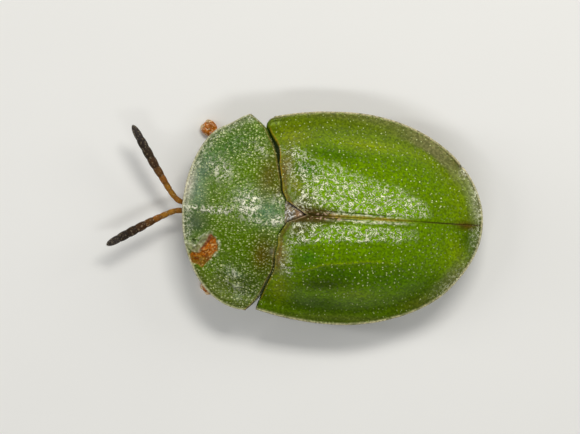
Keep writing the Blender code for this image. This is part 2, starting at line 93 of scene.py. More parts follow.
def lineDistance(x, y, knots):
    # least distance to a line through the knots, one stretch after the other
    away = np.full(np.shape(x), np.inf)
    for (ax, ay), (bx, by) in zip(knots[:-1], knots[1:]):
        along = (x - ax) * (bx - ax) + (y - ay) * (by - ay)
        share = np.clip(along / ((bx - ax) ** 2 + (by - ay) ** 2), 0.0, 1.0)
        away = np.minimum(away, np.hypot(x - ax - share * (bx - ax), y - ay - share * (by - ay)))
    return away


def between(at, known, rows):
    # each column of the rows, read off between the known places
    return np.stack([np.interp(at, known, column) for column in rows.T], axis=1)


def resample(points, shares):
    # points at the given shares of a polyline's length
    run = np.concatenate([[0.0], np.cumsum(np.linalg.norm(np.diff(points, axis=0), axis=1))])
    return between(shares * run[-1], run, points)


def crowded(count, share):
    # from 0 to 1, closer together towards both ends
    even = np.linspace(0.0, 1.0, count)
    return (1.0 - share) * even + share * (0.5 - 0.5 * np.cos(np.pi * even))


def colour(code):
    # a web colour as linear red, green and blue
    value = np.array([int(code[k:k + 2], 16) for k in (1, 3, 5)]) / 255.0
    return np.where(value <= 0.04045, value / 12.92, ((value + 0.055) / 1.055) ** 2.4)


def blend(first, second, share):
    return first + (second - first) * np.clip(share, 0.0, 1.0)[..., None]


def oval(x, y, centreX, centreY, long, wide, turn):
    # 1 at the centre, and a soft fall to all sides: half length, half width, turn in degrees
    c, s = np.cos(np.radians(turn)), np.sin(np.radians(turn))
    u, v = (x - centreX) * c + (y - centreY) * s, (y - centreY) * c - (x - centreX) * s
    return np.exp(-(u / long) ** 2 - (v / wide) ** 2)


def ovals(x, y, patches):
    # the sum of ovals, each with its share at the end
    return np.clip(sum(share * oval(x, y, *spot) for *spot, share in patches), 0.0, 1.0)


def paint(x, y, tint, patches):
    # lays ovals over a tint, each with its share and colour at the end
    return layered(tint, [(code, share * oval(x, y, *spot)) for *spot, share, code in patches])


def layered(tint, layers):
    # lays colours over a tint, one after the other, each by its share at every point
    for code, share in layers:
        tint = blend(tint, colour(code), share)
    return tint


# The shell's shape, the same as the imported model's

def smoothPower(value, inner, outer):
    return np.clip(1.0 - np.abs(value) ** inner, 0.0, 1.0) ** outer


def rimHeight(x):
    return shell["rimHeight"] + shell["rimSlope"] * x


def hindMargin(y):
    # the shield's hind edge: swept forward in shallow waves, hooked at the corners, the right one a little more
    side = np.abs(y)
    hook = 0.35 * (side / shell["shieldHalfWidth"]) ** 7 + 0.075 * bell(y - 1.93, 0.32)
    wave = 0.065 * bell(y + 0.20, 0.14) - 0.055 * bell(y + 0.56, 0.13) + 0.065 * bell(y + 1.35, 0.26)
    wave = wave + 0.045 * bell(y - 0.34, 0.10) - 0.020 * bell(y - 0.58, 0.13)
    return shell["hindMarginX"] - 0.20 * side - hook + wave


def seamDepthAndShade(y):
    # how deep the seam's groove between the shield and a cover is and how dark its painted shade is: faint in
    # the middle of the left side
    return 1.0 - 0.65 * smoothStep(-0.42, -0.55, y) * smoothStep(-1.18, -1.02, y)


def coverWidth(x):
    # half the width of both wing covers: one ellipse behind and a longer one in front
    reach = np.where(x > shell["coverWideX"], shell["tailX"] - shell["coverWideX"], shell["coverFrontReach"])
    return shell["coverHalfWidth"] * np.sqrt(np.clip(1.0 - ((x - shell["coverWideX"]) / reach) ** 2, 0.0, 1.0))


def vaulted(x, height, edge, disc, vault):
    # a low brim that starts at the edge, and a vault on the disc inside it
    brim = shell["brimShare"] * np.clip(1.0 - edge ** shell["brimPower"], 0.0, 1.0)
    return rimHeight(x) + height * (brim + (1.0 - shell["brimShare"]) * smoothPower(disc, *vault))


def shieldTop(x, y):
    # rises towards the wing covers
    ahead = np.minimum(x - shell["shoulderX"], 0.0)
    edge = np.hypot(ahead / (shell["shoulderX"] - shell["noseX"]), y / shell["shieldHalfWidth"])
    disc = np.hypot(ahead / shell["shieldDiscFront"], y / shell["shieldDiscSide"])
    height = shell["shieldHeight"] + shell["shieldRise"] * (x - shell["shoulderX"])
    return vaulted(x, height, edge, disc, shell["shieldVault"])


def coverTop(x, y):
    # steeper, and highest a little behind the shoulders
    behind = np.maximum(x - shell["coverWideX"], 0.0)
    edge = np.hypot(behind / (shell["tailX"] - shell["coverWideX"]), y / shell["coverHalfWidth"])
    side = np.where(x > shell["coverWideX"], shell["coverHalfWidth"], coverWidth(x)) * shell["coverDiscSide"]
    disc = np.hypot(behind / shell["coverDiscRear"], y / side)
    ridge = shell["domeHeight"] * (1.0 - 0.14 * np.clip((-0.35 - x) / 0.9, 0.0, 1.5) ** 2)
    return vaulted(x, ridge, edge, disc, shell["coverVault"])


def rimDistance(x, y, centreX, front, rear, half):
    # about how far a point lies inside an oval outline: first-order distance from its formula
    reach = np.where(x > centreX, rear, front)
    r = np.hypot((x - centreX) / reach, y / half)
    slope = np.hypot((x - centreX) / reach ** 2, y / half ** 2) / np.maximum(r, 1e-6)
    return (1.0 - r) / np.maximum(slope, 1e-6)


def plateThickness(rim):
    # thin at the rim, and full from half a millimetre inside it
    return shell["rimThickness"] + (shell["thickness"] - shell["rimThickness"]) * smoothStep(0.0, 0.5, rim)


# Meshes from grids

def closedPlate(points, relief, thickness, tint, marks=()):
    # the grid raised by the relief, a copy of it moved inwards by the thickness, and a rounded edge between
    n, m = points.shape[:2]
    normal = unit(np.cross(np.gradient(points, axis=0), np.gradient(points, axis=1)))
    facing = np.sign(normal[..., 2].mean())
    normal = normal * facing
    top = points + normal * relief[..., None]
    inner = points - normal * thickness[..., None]
    index = np.arange(n * m).reshape(n, m)
    quads = np.stack([index[:-1, :-1], index[1:, :-1], index[1:, 1:], index[:-1, 1:]], axis=-1).reshape(-1, 4)
    loop = np.concatenate([index[0, :-1], index[:-1, -1], index[-1, :0:-1], index[:0:-1, 0]])
    row, column = np.divmod(loop, m)
    inward = points[np.clip(row, 2, n - 3), np.clip(column, 2, m - 3)]
    outward = points[row, column] - inward
    outward -= normal[row, column] * np.sum(outward * normal[row, column], axis=1, keepdims=True)
    middle = (top[row, column] + inner[row, column]) / 2 + unit(outward) * 0.45 * thickness[row, column][:, None]
    edge = 2 * n * m + np.arange(len(loop))
    after = np.roll(np.arange(len(loop)), -1)
    walls = [np.stack([loop, edge, edge[after], loop[after]], axis=-1),
             np.stack([edge, loop + n * m, loop[after] + n * m, edge[after]], axis=-1)]
    faces = np.concatenate([quads, quads[:, ::-1] + n * m] + [w[:, ::-1] for w in walls])
    if facing < 0:
        faces = faces[:, ::-1]
    source = np.concatenate([index.ravel(), index.ravel(), loop])
    made = {"points": np.concatenate([top.reshape(-1, 3), inner.reshape(-1, 3), middle]), "quads": faces,
            "tint": tint.reshape(-1, 3)[source]}
    if marks:
        made["marks"] = np.stack(marks, axis=-1).reshape(-1, 3)[source]
    return made


def ringFaces(count, sides):
    # quads between rings of points, and a fan to one more point at each end
    index = np.arange(count * sides).reshape(-1, sides)
    after = np.roll(index, -1, axis=1)
    quads = np.stack([index[:-1], after[:-1], after[1:], index[1:]], axis=-1).reshape(-1, 4)
    return quads, np.concatenate([np.stack([after[0], index[0], np.full(sides, index.size)], axis=-1),
                                  np.stack([index[-1], after[-1], np.full(sides, index.size + 1)], axis=-1)])


def tube(path, radii, tint, sides=16, flat=1.0):
    # rings square to a path, each with its own radius, and one colour or one for each ring; flat squashes them
    ahead = unit(np.gradient(path, axis=0))
    side = unit(np.cross(ahead, np.where(np.abs(ahead[:, 2:]) > 0.98, [1.0, 0.0, 0.0], [0.0, 0.0, 1.0])))
    up = np.cross(side, ahead)
    angle = np.linspace(0.0, 2 * np.pi, sides, endpoint=False)
    ring = np.cos(angle)[None, :, None] * side[:, None] + flat * np.sin(angle)[None, :, None] * up[:, None]
    rings = path[:, None] + radii[:, None, None] * ring
    quads, triangles = ringFaces(len(path), sides)
    tint = np.broadcast_to(tint, path.shape)
    return {"points": np.concatenate([rings.reshape(-1, 3), path[:1], path[-1:]]),
            "tint": np.concatenate([np.repeat(tint, sides, axis=0), tint[:1], tint[-1:]]),
            "quads": quads, "triangles": triangles}


def ball(centre, radii, tint, rows=16, sides=20, axis=(1.0, 0.0, 0.0)):
    # an ellipsoid, as a tube whose radius follows half a circle: half length, half width, half height
    turn = np.linspace(0.03, np.pi - 0.03, rows)
    path = centre - np.cos(turn)[:, None] * unit(np.array(axis, float)) * radii[0]
    return tube(path, np.sin(turn) * radii[1], tint, sides, radii[2] / radii[1])


def joined(parts):
    # several closed parts in one mesh
    starts = np.cumsum([0] + [len(part["points"]) for part in parts])
    made = {key: np.concatenate([part[key] for part in parts]) for key in ("points", "tint")}
    for key in ("quads", "triangles"):
        made[key] = np.concatenate([part[key] + start for part, start in zip(parts, starts)])
    return made


def addPiece(name, part, finishName, nodes=()):
    # puts a mesh into the scene in metres, in the imported frame, and hides the imported parts it stands for
    mesh = bpy.data.meshes.new(name)
    points = ((part["points"] + np.array([shiftX, 0.0, 0.0])) * mm).astype(np.float32)
    quads, triangles = part["quads"], part.get("triangles", np.zeros((0, 3), int))
    corners = np.concatenate([quads.ravel(), triangles.ravel()]).astype(np.int32)
    sizes = np.repeat([4, 3], [len(quads), len(triangles)])
    mesh.vertices.add(len(points))
    mesh.vertices.foreach_set("co", points.ravel())
    mesh.loops.add(len(corners))
    mesh.loops.foreach_set("vertex_index", corners)
    mesh.polygons.add(len(sizes))
    mesh.polygons.foreach_set("loop_start", (np.cumsum(sizes) - sizes).astype(np.int32))
    mesh.update(calc_edges=True)
    mesh.validate()
    mesh.shade_smooth()
    tint = np.concatenate([part["tint"], np.ones((len(points), 1))], axis=1)
    layers = [("tint", "FLOAT_COLOR", "color", tint), ("marks", "FLOAT_VECTOR", "vector", part.get("marks"))]
    for key, kind, field, values in layers:
        if values is not None:
            layer = mesh.attributes.new(key, kind, "POINT")
            layer.data.foreach_set(field, values.astype(np.float32).ravel())
    mesh.materials.append(bpy.data.materials[finishName])
    made = bpy.data.objects.new(name, mesh)
    bpy.context.scene.collection.objects.link(made)
    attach(made, "root")
    if nodes:
        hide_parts(*nodes)
    print(name, len(points), "points")
    return made


# Shader nodes

def place(tree, kind, inputs=None, **settings):
    # adds a node, sets it, and fills its inputs with values or links; it stands to the right of what feeds it
    made = tree.nodes.new("ShaderNode" + kind)
    for key, value in settings.items():
        setattr(made, key, value)
    column = 0
    for key, value in (inputs or {}).items():
        if isinstance(value, bpy.types.NodeSocket):
            tree.links.new(value, made.inputs[key])
            column = max(column, value.node.location.x + 200)
        else:
            made.inputs[key].default_value = value
    made.location = (column, -250 * sum(node.location.x == column for node in tree.nodes))
    return made


def calc(tree, operation, *values):
    return place(tree, "Math", dict(enumerate(values)), operation=operation).outputs[0]


def vectorCalc(tree, operation, first, second):
    inputs = {0: first, "Scale" if operation == "SCALE" else 1: second}
    return place(tree, "VectorMath", inputs, operation=operation).outputs[0]


def mixColour(tree, share, first, second):
    return place(tree, "Mix", {0: share, 6: first, 7: second}, data_type="RGBA").outputs[2]


def softRange(tree, value, low, high):
    # 0 where the value is at low, 1 at high, and a soft s-curve between
    inputs = {"Value": value, "From Min": low, "From Max": high}
    return place(tree, "MapRange", inputs, interpolation_type="SMOOTHSTEP").outputs[0]


def spread(tree, value, low, high):
    return place(tree, "MapRange", {"Value": value, "To Min": low, "To Max": high}).outputs[0]


def noise(tree, vector, scale, detail=1.0, distortion=0.0):
    inputs = {"Vector": vector, "Scale": scale, "Detail": detail, "Distortion": distortion}
    return place(tree, "TexNoise", inputs).outputs


def grain(tree, vector, cell, height):
    return calc(tree, "MULTIPLY", noise(tree, vector, 1.0 / cell, 3.0)[0], height)


def attribute(tree, name, output):
    return place(tree, "Attribute", attribute_name=name).outputs[output]


def newGroup(name, inputs):
    # a group with inputs that are vectors (no value), colours or plain numbers
    tree = bpy.data.node_groups.new(name, "ShaderNodeTree")
    for label, value in inputs.items():
        kind = "Vector" if value is None else "Color" if isinstance(value, tuple) else "Float"
        socket = tree.interface.new_socket(label, in_out="INPUT", socket_type="NodeSocket" + kind)
        if value is not None:
            socket.default_value = value
    return tree, tree.nodes.new("NodeGroupInput").outputs


def closeGroup(tree, outputs):
    # gives the group its outputs, colours or plain numbers
    for label, socket in outputs.items():
        kind = "NodeSocketColor" if socket.type == "RGBA" else "NodeSocketFloat"
        tree.interface.new_socket(label, in_out="OUTPUT", socket_type=kind)
    end = tree.nodes.new("NodeGroupOutput")
    end.location = (2000, 0)
    for label, socket in outputs.items():
        tree.links.new(socket, end.inputs[label])
    return tree


def useGroup(tree, group, **inputs):
    return place(tree, "Group", inputs, node_tree=group, label=group.name).outputs


def pitsGroup(name, dimensions):
    # round cells: a pit or a raised dot at the middle, the gaps between, and height in millimetres
    tree, start = newGroup(name, {
        "Vector": None, "Spacing": 0.1, "Width": 0.5, "Core": 0.2, "Depth": 0.01, "Raise": 0.0,
        "Randomness": 0.9, "Bend": 0.0, "Variety": 1.0})
    scale = calc(tree, "DIVIDE", 1.0, start["Spacing"])
    bend = vectorCalc(tree, "SUBTRACT", noise(tree, start["Vector"], scale)["Color"], (0.5, 0.5, 0.5))
    bent = vectorCalc(tree, "ADD", start["Vector"], vectorCalc(tree, "SCALE", bend, start["Bend"]))
    cells = place(tree, "TexVoronoi", {"Vector": bent, "Scale": scale, "Randomness": start["Randomness"]},
                  voronoi_dimensions=dimensions).outputs
    away = cells["Distance"]
    tone = place(tree, "SeparateColor", {"Color": cells["Color"]}).outputs[0]
    pit = softRange(tree, away, start["Width"], calc(tree, "MULTIPLY", start["Width"], 0.4))
    core = softRange(tree, away, start["Core"], calc(tree, "MULTIPLY", start["Core"], 0.5))
    dot = calc(tree, "MULTIPLY", core, calc(tree, "POWER", tone, start["Variety"]))
    sunk, raised = calc(tree, "MULTIPLY", pit, start["Depth"]), calc(tree, "MULTIPLY", core, start["Raise"])
    return closeGroup(tree, {"Pit": pit, "Gap": softRange(tree, away, 0.36, 0.66), "Dot": dot,
                             "Height": calc(tree, "SUBTRACT", raised, sunk)})


def wrinklesGroup():
    # winding crests where a noise crosses its middle: a mask, and the noise and its crests in millimetres
    tree, start = newGroup("wrinkles", {
        "Vector": None, "Cell": 0.1, "Depth": 0.01, "Distortion": 1.0, "Line": 0.07, "Mask": 1.0})
    wave = noise(tree, start["Vector"], calc(tree, "DIVIDE", 1.0, start["Cell"]), 1.0, start["Distortion"])[0]
    away = calc(tree, "ABSOLUTE", calc(tree, "SUBTRACT", wave, 0.5))
    patches = noise(tree, start["Vector"], calc(tree, "DIVIDE", 0.9, start["Cell"]))[0]
    lit = calc(tree, "MULTIPLY", softRange(tree, patches, 0.38, 0.56), start["Mask"])
    line = softRange(tree, away, start["Line"], calc(tree, "MULTIPLY", start["Line"], 0.42))
    crest = calc(tree, "MULTIPLY", line, lit)
    both = calc(tree, "ADD", crest, calc(tree, "MULTIPLY", wave, start["Mask"]))
    return closeGroup(tree, {"Crest": crest, "Height": calc(tree, "MULTIPLY", both, start["Depth"])})


def mottleGroup():
    # blotches that lean a colour to another one
    tree, start = newGroup("mottle", {
        "Color": (0.5, 0.5, 0.5, 1.0), "Other": (0.2, 0.2, 0.2, 1.0), "Vector": None,
        "Cell": 0.3, "Amount": 0.5})
    blotches = noise(tree, start["Vector"], calc(tree, "DIVIDE", 1.0, start["Cell"]), 4.0)[0]
    tone = softRange(tree, blotches, 0.38, 0.62)
    share = calc(tree, "MULTIPLY", tone, start["Amount"])
    return closeGroup(tree, {"Color": mixColour(tree, share, start["Color"], start["Other"]), "Tone": tone})


flatPits, deepPits = pitsGroup("flatPits", "2D"), pitsGroup("deepPits", "3D")
wrinkles, mottle = wrinklesGroup(), mottleGroup()


def newMaterial(name):
    # a material's nodes, its shader, and the place on the object in millimetres
    made = bpy.data.materials.new(name)
    made.use_nodes = True
    tree = made.node_tree
    shader = tree.nodes["Principled BSDF"]
    shader.location, tree.nodes["Material Output"].location = (3400, 0), (3800, 0)
    where = place(tree, "TexCoord").outputs["Object"]
    return tree, shader, place(tree, "Mapping", {"Vector": where, "Scale": (1 / mm,) * 3}).outputs[0]


def finish(tree, shader, heights, colourSocket, roughSocket, **values):
    # sums the heights into one bump and fills the shader
    total = heights[0]
    for height in heights[1:]:
        total = calc(tree, "ADD", total, height)
    bump = place(tree, "Bump", {"Strength": 1.0, "Distance": mm, "Height": total}).outputs[0]
    for key, socket in (("Normal", bump), ("Base Color", colourSocket), ("Roughness", roughSocket)):
        tree.links.new(socket, shader.inputs[key])
    for key, value in values.items():
        shader.inputs[key.replace("_", " ")].default_value = value


# Materials

# the shares and colours below paint light and shade into the horn's colour: painted shade in the gaps between
# granules and in the pits, painted glints as pale dots, and painted highlights on the crests of the wrinkles
# and, in part, of the net
shellLook = {
    "shieldHorn": {
        "cells": {"Spacing": 0.060, "Width": 0.5, "Core": 0.32, "Depth": 0.0, "Raise": 0.012,
                  "Randomness": 0.80, "Bend": 0.09, "Variety": 1.3},
        "stretch": (0.82, 1.12, 1.0), "pit": 0.0, "gap": 0.95, "speckle": 0.62,
        "rough": (0.18, 0.30), "grain": 0.0015,
        "wrinkles": {"Cell": 0.108, "Line": 0.100}, "white": (1.0, 1.0, 0.76, 1.0),
        "pale": (0.96, 1.0, 0.50, 1.0), "dotGlintShare": 0.92, "reflection": (0.70, 0.85, 0.10, 1.0),
    },
    "coverHorn": {
        "cells": {"Spacing": 0.104, "Width": 0.34, "Core": 0.18, "Depth": 0.008, "Raise": 0.004,
                  "Randomness": 1.0, "Bend": 0.05, "Variety": 2.4},
        "stretch": (0.95, 1.05, 1.0), "pit": 0.55, "gap": 0.0, "speckle": 0.72,
        "rough": (0.11, 0.18), "grain": 0.0006,
        "wrinkles": {"Cell": 0.090, "Line": 0.080}, "white": (0.99, 1.0, 0.72, 1.0),
        "pale": (0.92, 1.0, 0.46, 1.0), "dotGlintShare": 0.84, "reflection": (0.62, 0.85, 0.10, 1.0),
    },
    "wrinkles": {"Depth": 0.019, "Distortion": 1.2}, "net": {"Cell": 0.065, "Depth": 0.008, "Distortion": 0.6},
    "crestHighlightShare": 0.97, "netShare": 0.72, "dark": (0.012, 0.028, 0.001, 1.0), "darkShare": 0.65,
    "coat": 0.04, "coatRoughness": 0.09, "specular": 0.22,
}


def shellMaterial(name):
    # horn: the mesh's tint, blotched and speckled; granules or pits, with painted shade in the gaps and pits and
    # pale dots that are painted glints; glossy wrinkles whose crests are painted highlights, and netted margins
    # whose pale crests are partly painted highlight
    tree, shader, point = newMaterial(name)
    look = shellLook[name]
    tint = attribute(tree, "tint", "Color")
    wrinkleMark, pitMark, netMark = place(tree, "SeparateXYZ", {0: attribute(tree, "marks", "Vector")}).outputs
    drawn = vectorCalc(tree, "MULTIPLY", point, look["stretch"])
    dents = useGroup(tree, flatPits, Vector=drawn, **look["cells"])
    folds = useGroup(tree, wrinkles, Vector=point, Mask=wrinkleMark, **look["wrinkles"], **shellLook["wrinkles"])
    net = useGroup(tree, wrinkles, Vector=point, Mask=netMark, **shellLook["net"])
    # a darker tint: for real blotches, and for painted shade in the gaps between granules and in the pits
    darker = mixColour(tree, shellLook["darkShare"], tint, shellLook["dark"])
    # a pale tint for the dots: painted glints
    dotGlintTint = mixColour(tree, look["dotGlintShare"], tint, look["pale"])
    blotched = useGroup(tree, mottle, Color=tint, Other=darker, Vector=point, Cell=0.22, Amount=0.30)
    horn = useGroup(tree, mottle, Color=blotched["Color"], Other=darker, Vector=point, Cell=0.060,
                    Amount=look["speckle"])[0]
    # painted shade in the gaps and pits, painted glints on the dots, painted highlights on the net's and the
    # wrinkles' crests
    for mask, mark, share, other in (
            (dents["Gap"], pitMark, look["gap"], darker), (dents["Pit"], pitMark, look["pit"], darker),
            (dents["Dot"], pitMark, 1.0, dotGlintTint), (net["Crest"], 1.0, shellLook["netShare"], look["white"]),
            (folds["Crest"], 1.0, shellLook["crestHighlightShare"], look["white"])):
        share = calc(tree, "MULTIPLY", calc(tree, "MULTIPLY", mask, mark), share)
        horn = mixColour(tree, share, horn, other)
    heights = [calc(tree, "MULTIPLY", dents["Height"], pitMark), folds["Height"], net["Height"],
               grain(tree, point, 0.03, look["grain"])]
    finish(tree, shader, heights, horn, spread(tree, blotched["Tone"], *look["rough"]),
           Specular_IOR_Level=shellLook["specular"], Specular_Tint=look["reflection"],
           Coat_Weight=shellLook["coat"], Coat_Roughness=shellLook["coatRoughness"])


hornBase = {
    # the pit colour below paints shade into the pits, and the pale colour paints glints as specks
    "mottle": 0.5, "grainCell": 0.03, "grain": 0.004, "glintSpecks": 0.0, "specular": 0.5, "coatRoughness": 0.15,
    "dark": (0.01, 0.006, 0.004, 1.0), "pitShadeColour": (0.005, 0.004, 0.003, 1.0), "pale": (1.0, 0.80, 0.48, 1.0),
}
hornLook = {                                      # spacing and depth of the pits, and what differs from the base
    "scutellumHorn": {"spacing": 0.05, "depth": 0.012, "rough": 0.30, "coat": 0.5},
    "undersideHorn": {"spacing": 0.11, "depth": 0.010, "rough": 0.34, "coat": 0.3},
    "headHorn": {"spacing": 0.07, "depth": 0.008, "rough": 0.32, "coat": 0.3},
    "legHorn": {"spacing": 0.09, "depth": 0.004, "rough": 0.26, "coat": 0.15, "mottle": 0.45, "glintSpecks": 0.80,
                "specular": 0.35},
    "feelerHorn": {"spacing": 0.035, "depth": 0.006, "rough": 0.46, "coat": 0.0, "mottle": 0.4,
                   "grainCell": 0.012, "glintSpecks": 0.18, "specular": 0.20},
    "paleHair": {"spacing": 0.05, "depth": 0.0, "rough": 0.5, "coat": 0.0, "mottle": 0.1},
    "eyeFacets": {"spacing": 0.022, "depth": 0.004, "rough": 0.22, "coat": 0.7, "mottle": 0.2},
}


def hornMaterial(name):
    # plain horn with a tint from the mesh: mottled, finely pitted and grained, with painted shade in the pits,
    # and with pale specks that are painted glints
    tree, shader, point = newMaterial(name)
    look = {**hornBase, **hornLook[name]}
    tint = attribute(tree, "tint", "Color")
    darker = mixColour(tree, 0.6, tint, look["dark"])
    mottled = useGroup(tree, mottle, Color=tint, Other=darker, Vector=point, Cell=0.12, Amount=look["mottle"])
    dents = useGroup(tree, deepPits, Vector=point, Spacing=look["spacing"], Width=0.5, Depth=look["depth"])
    # painted shade in the pits
    horn = mixColour(tree, calc(tree, "MULTIPLY", dents["Pit"], 0.3), mottled["Color"], look["pitShadeColour"])
    # pale specks: painted glints
    glintSpecks = softRange(tree, noise(tree, point, 1.0 / 0.045)[0], 0.60, 0.68)
    horn = mixColour(tree, calc(tree, "MULTIPLY", glintSpecks, look["glintSpecks"]), horn, look["pale"])
    rough = spread(tree, mottled["Tone"], look["rough"] - 0.06, look["rough"] + 0.08)
    finish(tree, shader, [dents["Height"], grain(tree, point, look["grainCell"], look["grain"])], horn, rough,
           Specular_IOR_Level=look["specular"], Coat_Weight=look["coat"], Coat_Roughness=look["coatRoughness"])


shellMaterial("shieldHorn")
shellMaterial("coverHorn")
for name in hornLook:
    hornMaterial(name)
print("materials ready")


# Neck shield

shield = {
    "along": 130, "across": 330, "bead": 0.018, "beadPlace": 0.022, "beadWidth": 0.018, "base": "#668A04",
    "patches": [                                  # centre, half length, half width, turn, share, colour
        (-2.50, 0.75, 0.60, 0.62, 0, 0.85, "#6E9602"),
        (-2.00, 2.05, 0.50, 0.36, 0, 0.75, "#628230"),
        (-2.55, 1.60, 0.45, 0.30, 25, 0.55, "#44803A"),
        (-3.05, 1.15, 0.40, 0.45, 20, 0.60, "#548648"),
        (-2.25, -0.75, 0.75, 0.55, 0, 0.80, "#688C02"),
        (-2.10, -1.85, 0.60, 0.48, 0, 0.80, "#4C5E14"),
        (-2.60, -1.75, 0.30, 0.22, -40, 0.50, "#6A6E34"),
        (-2.80, -0.10, 0.50, 0.10, 0, 0.75, "#76A000"),
        (-1.60, 0.02, 0.40, 0.34, 0, 0.80, "#639672"),
        (-2.10, 0.32, 0.34, 0.26, 0, 0.50, "#67985E"),
        (-1.60, 0.87, 0.28, 0.55, -10, 0.90, "#6E6420"),
        (-1.36, 0.52, 0.12, 0.20, 0, 0.65, "#5A3216"),
        (-1.56, -0.98, 0.30, 0.48, 12, 0.80, "#66580F"),
        (-1.72, -1.10, 0.16, 0.28, 0, 0.30, "#8A3C10"),
        (-1.42, -0.93, 0.06, 0.10, 0, 0.50, "#A89A94"),
    ],
    "veils": [
        (-3.30, 0.72, 0.22, 0.55, -20, 0.65, "#6A8A80"),
        (-3.27, 0.27, 0.20, 0.30, 0, 0.60, "#6C877E"),
        (-3.32, -0.34, 0.30, 0.34, 0, 0.88, "#4A5A4E"),
        (-2.21, -1.55, 0.11, 0.06, -20, 0.70, "#8CA480"),
        (-2.45, -1.50, 0.09, 0.06, 30, 0.55, "#7E9870"),
        (-2.19, -2.09, 0.11, 0.05, 35, 0.60, "#8CA078"),
        (-3.58, 0.55, 0.15, 0.50, -12, 1.00, "#EEE6D2"),
        (-2.38, 2.21, 0.42, 0.11, 27, 0.70, "#98A474"),
    ],
    "swirls": [                                   # centre, half length, half width, turn, share of the wrinkles, whose crests are painted highlights
        (-2.85, -0.02, 0.60, 0.070, 0, 1.4), (-2.08, 0.19, 0.23, 0.26, 0, 1.35),
        (-1.345, 0.32, 0.11, 0.10, 0, 1.1), (-1.34, -0.18, 0.13, 0.09, 20, 1.1),
        (-1.75, -0.23, 0.22, 0.07, 0, 0.35), (-2.81, 0.99, 0.26, 0.20, -35, 0.6),
        (-2.36, -1.50, 0.15, 0.09, -35, 0.45), (-1.80, 1.50, 0.05, 0.14, 30, 0.7),
    ],
    "scar": [(-2.93, -0.57), (-2.74, -0.80), (-2.745, -1.01), (-2.93, -1.26), (-3.10, -1.43), (-3.37, -1.33),
             (-3.46, -1.12)],
    "scarEdge": [(-2.93, -0.63), (-3.01, -0.80), (-3.19, -1.04)],
    "curls": [
        [(-3.27, -0.90), (-3.24, -0.76), (-3.12, -0.65), (-2.97, -0.58)],
        [(-3.53, -0.83), (-3.43, -0.86), (-3.35, -0.88), (-3.27, -0.90)],
        [(-2.40, -1.72), (-2.27, -1.84), (-2.13, -1.83)],
    ],
    "flap": [(-3.085, -0.78, 0.21, 0.075, 55.6, 1.4), (-3.38, -0.94, 0.17, 0.075, -33, 1.4),
             (-3.24, -0.99, 0.09, 0.06, -20, 1.0)],
    "notch": (-3.345, -0.795),
    "smooth": [(-3.42, 0.35, 0.20, 0.80, 0, 0.55), (-3.62, 0.50, 0.10, 0.55, 0, 0.6),
               (-1.56, 0.12, 0.24, 0.18, 0, 0.40), (-3.32, -0.34, 0.26, 0.28, 0, 0.55)],
    "netted": [(-2.35, -1.70, 0.50, 0.32, -38, 0.40), (-2.00, -2.05, 0.30, 0.16, 20, 0.3),
               (-3.58, 0.55, 0.12, 0.55, -12, 0.9)],
    "bright": [                                   # where the granules shine: their painted glints, the painted shade between them and their raised dots are strongest here
        (-2.85, 1.00, 0.45, 0.36, -35, 1.0), (-2.05, 1.50, 0.45, 0.28, 0, 0.9),
        (-2.45, 1.75, 0.50, 0.35, 0, 0.4), (-2.25, 0.20, 0.60, 0.45, 0, 0.9),
        (-2.30, -1.65, 0.60, 0.35, -35, 0.5), (-1.45, -0.10, 0.30, 0.50, 0, 0.6),
    ],
    "dent": (-2.62, 0.36, 0.052),                 # where the right rim is flatter
    "cornerCut": (1.93, 2.38, 0.17),              # how much shorter its hind corner is
}


def insidePolygon(x, y, corners):
    # how far inside a convex polygon, as the least distance to its sides
    corners = np.array(corners)
    following = np.roll(corners, -1, axis=0)
    turn = np.sign(np.sum(corners[:, 0] * following[:, 1] - following[:, 0] * corners[:, 1]))
    depth = np.full(x.shape, np.inf)
    for start, end in zip(corners, following):
        side = (end - start) / np.linalg.norm(end - start)
        depth = np.minimum(depth, turn * (side[0] * (y - start[1]) - side[1] * (x - start[0])))
    return depth


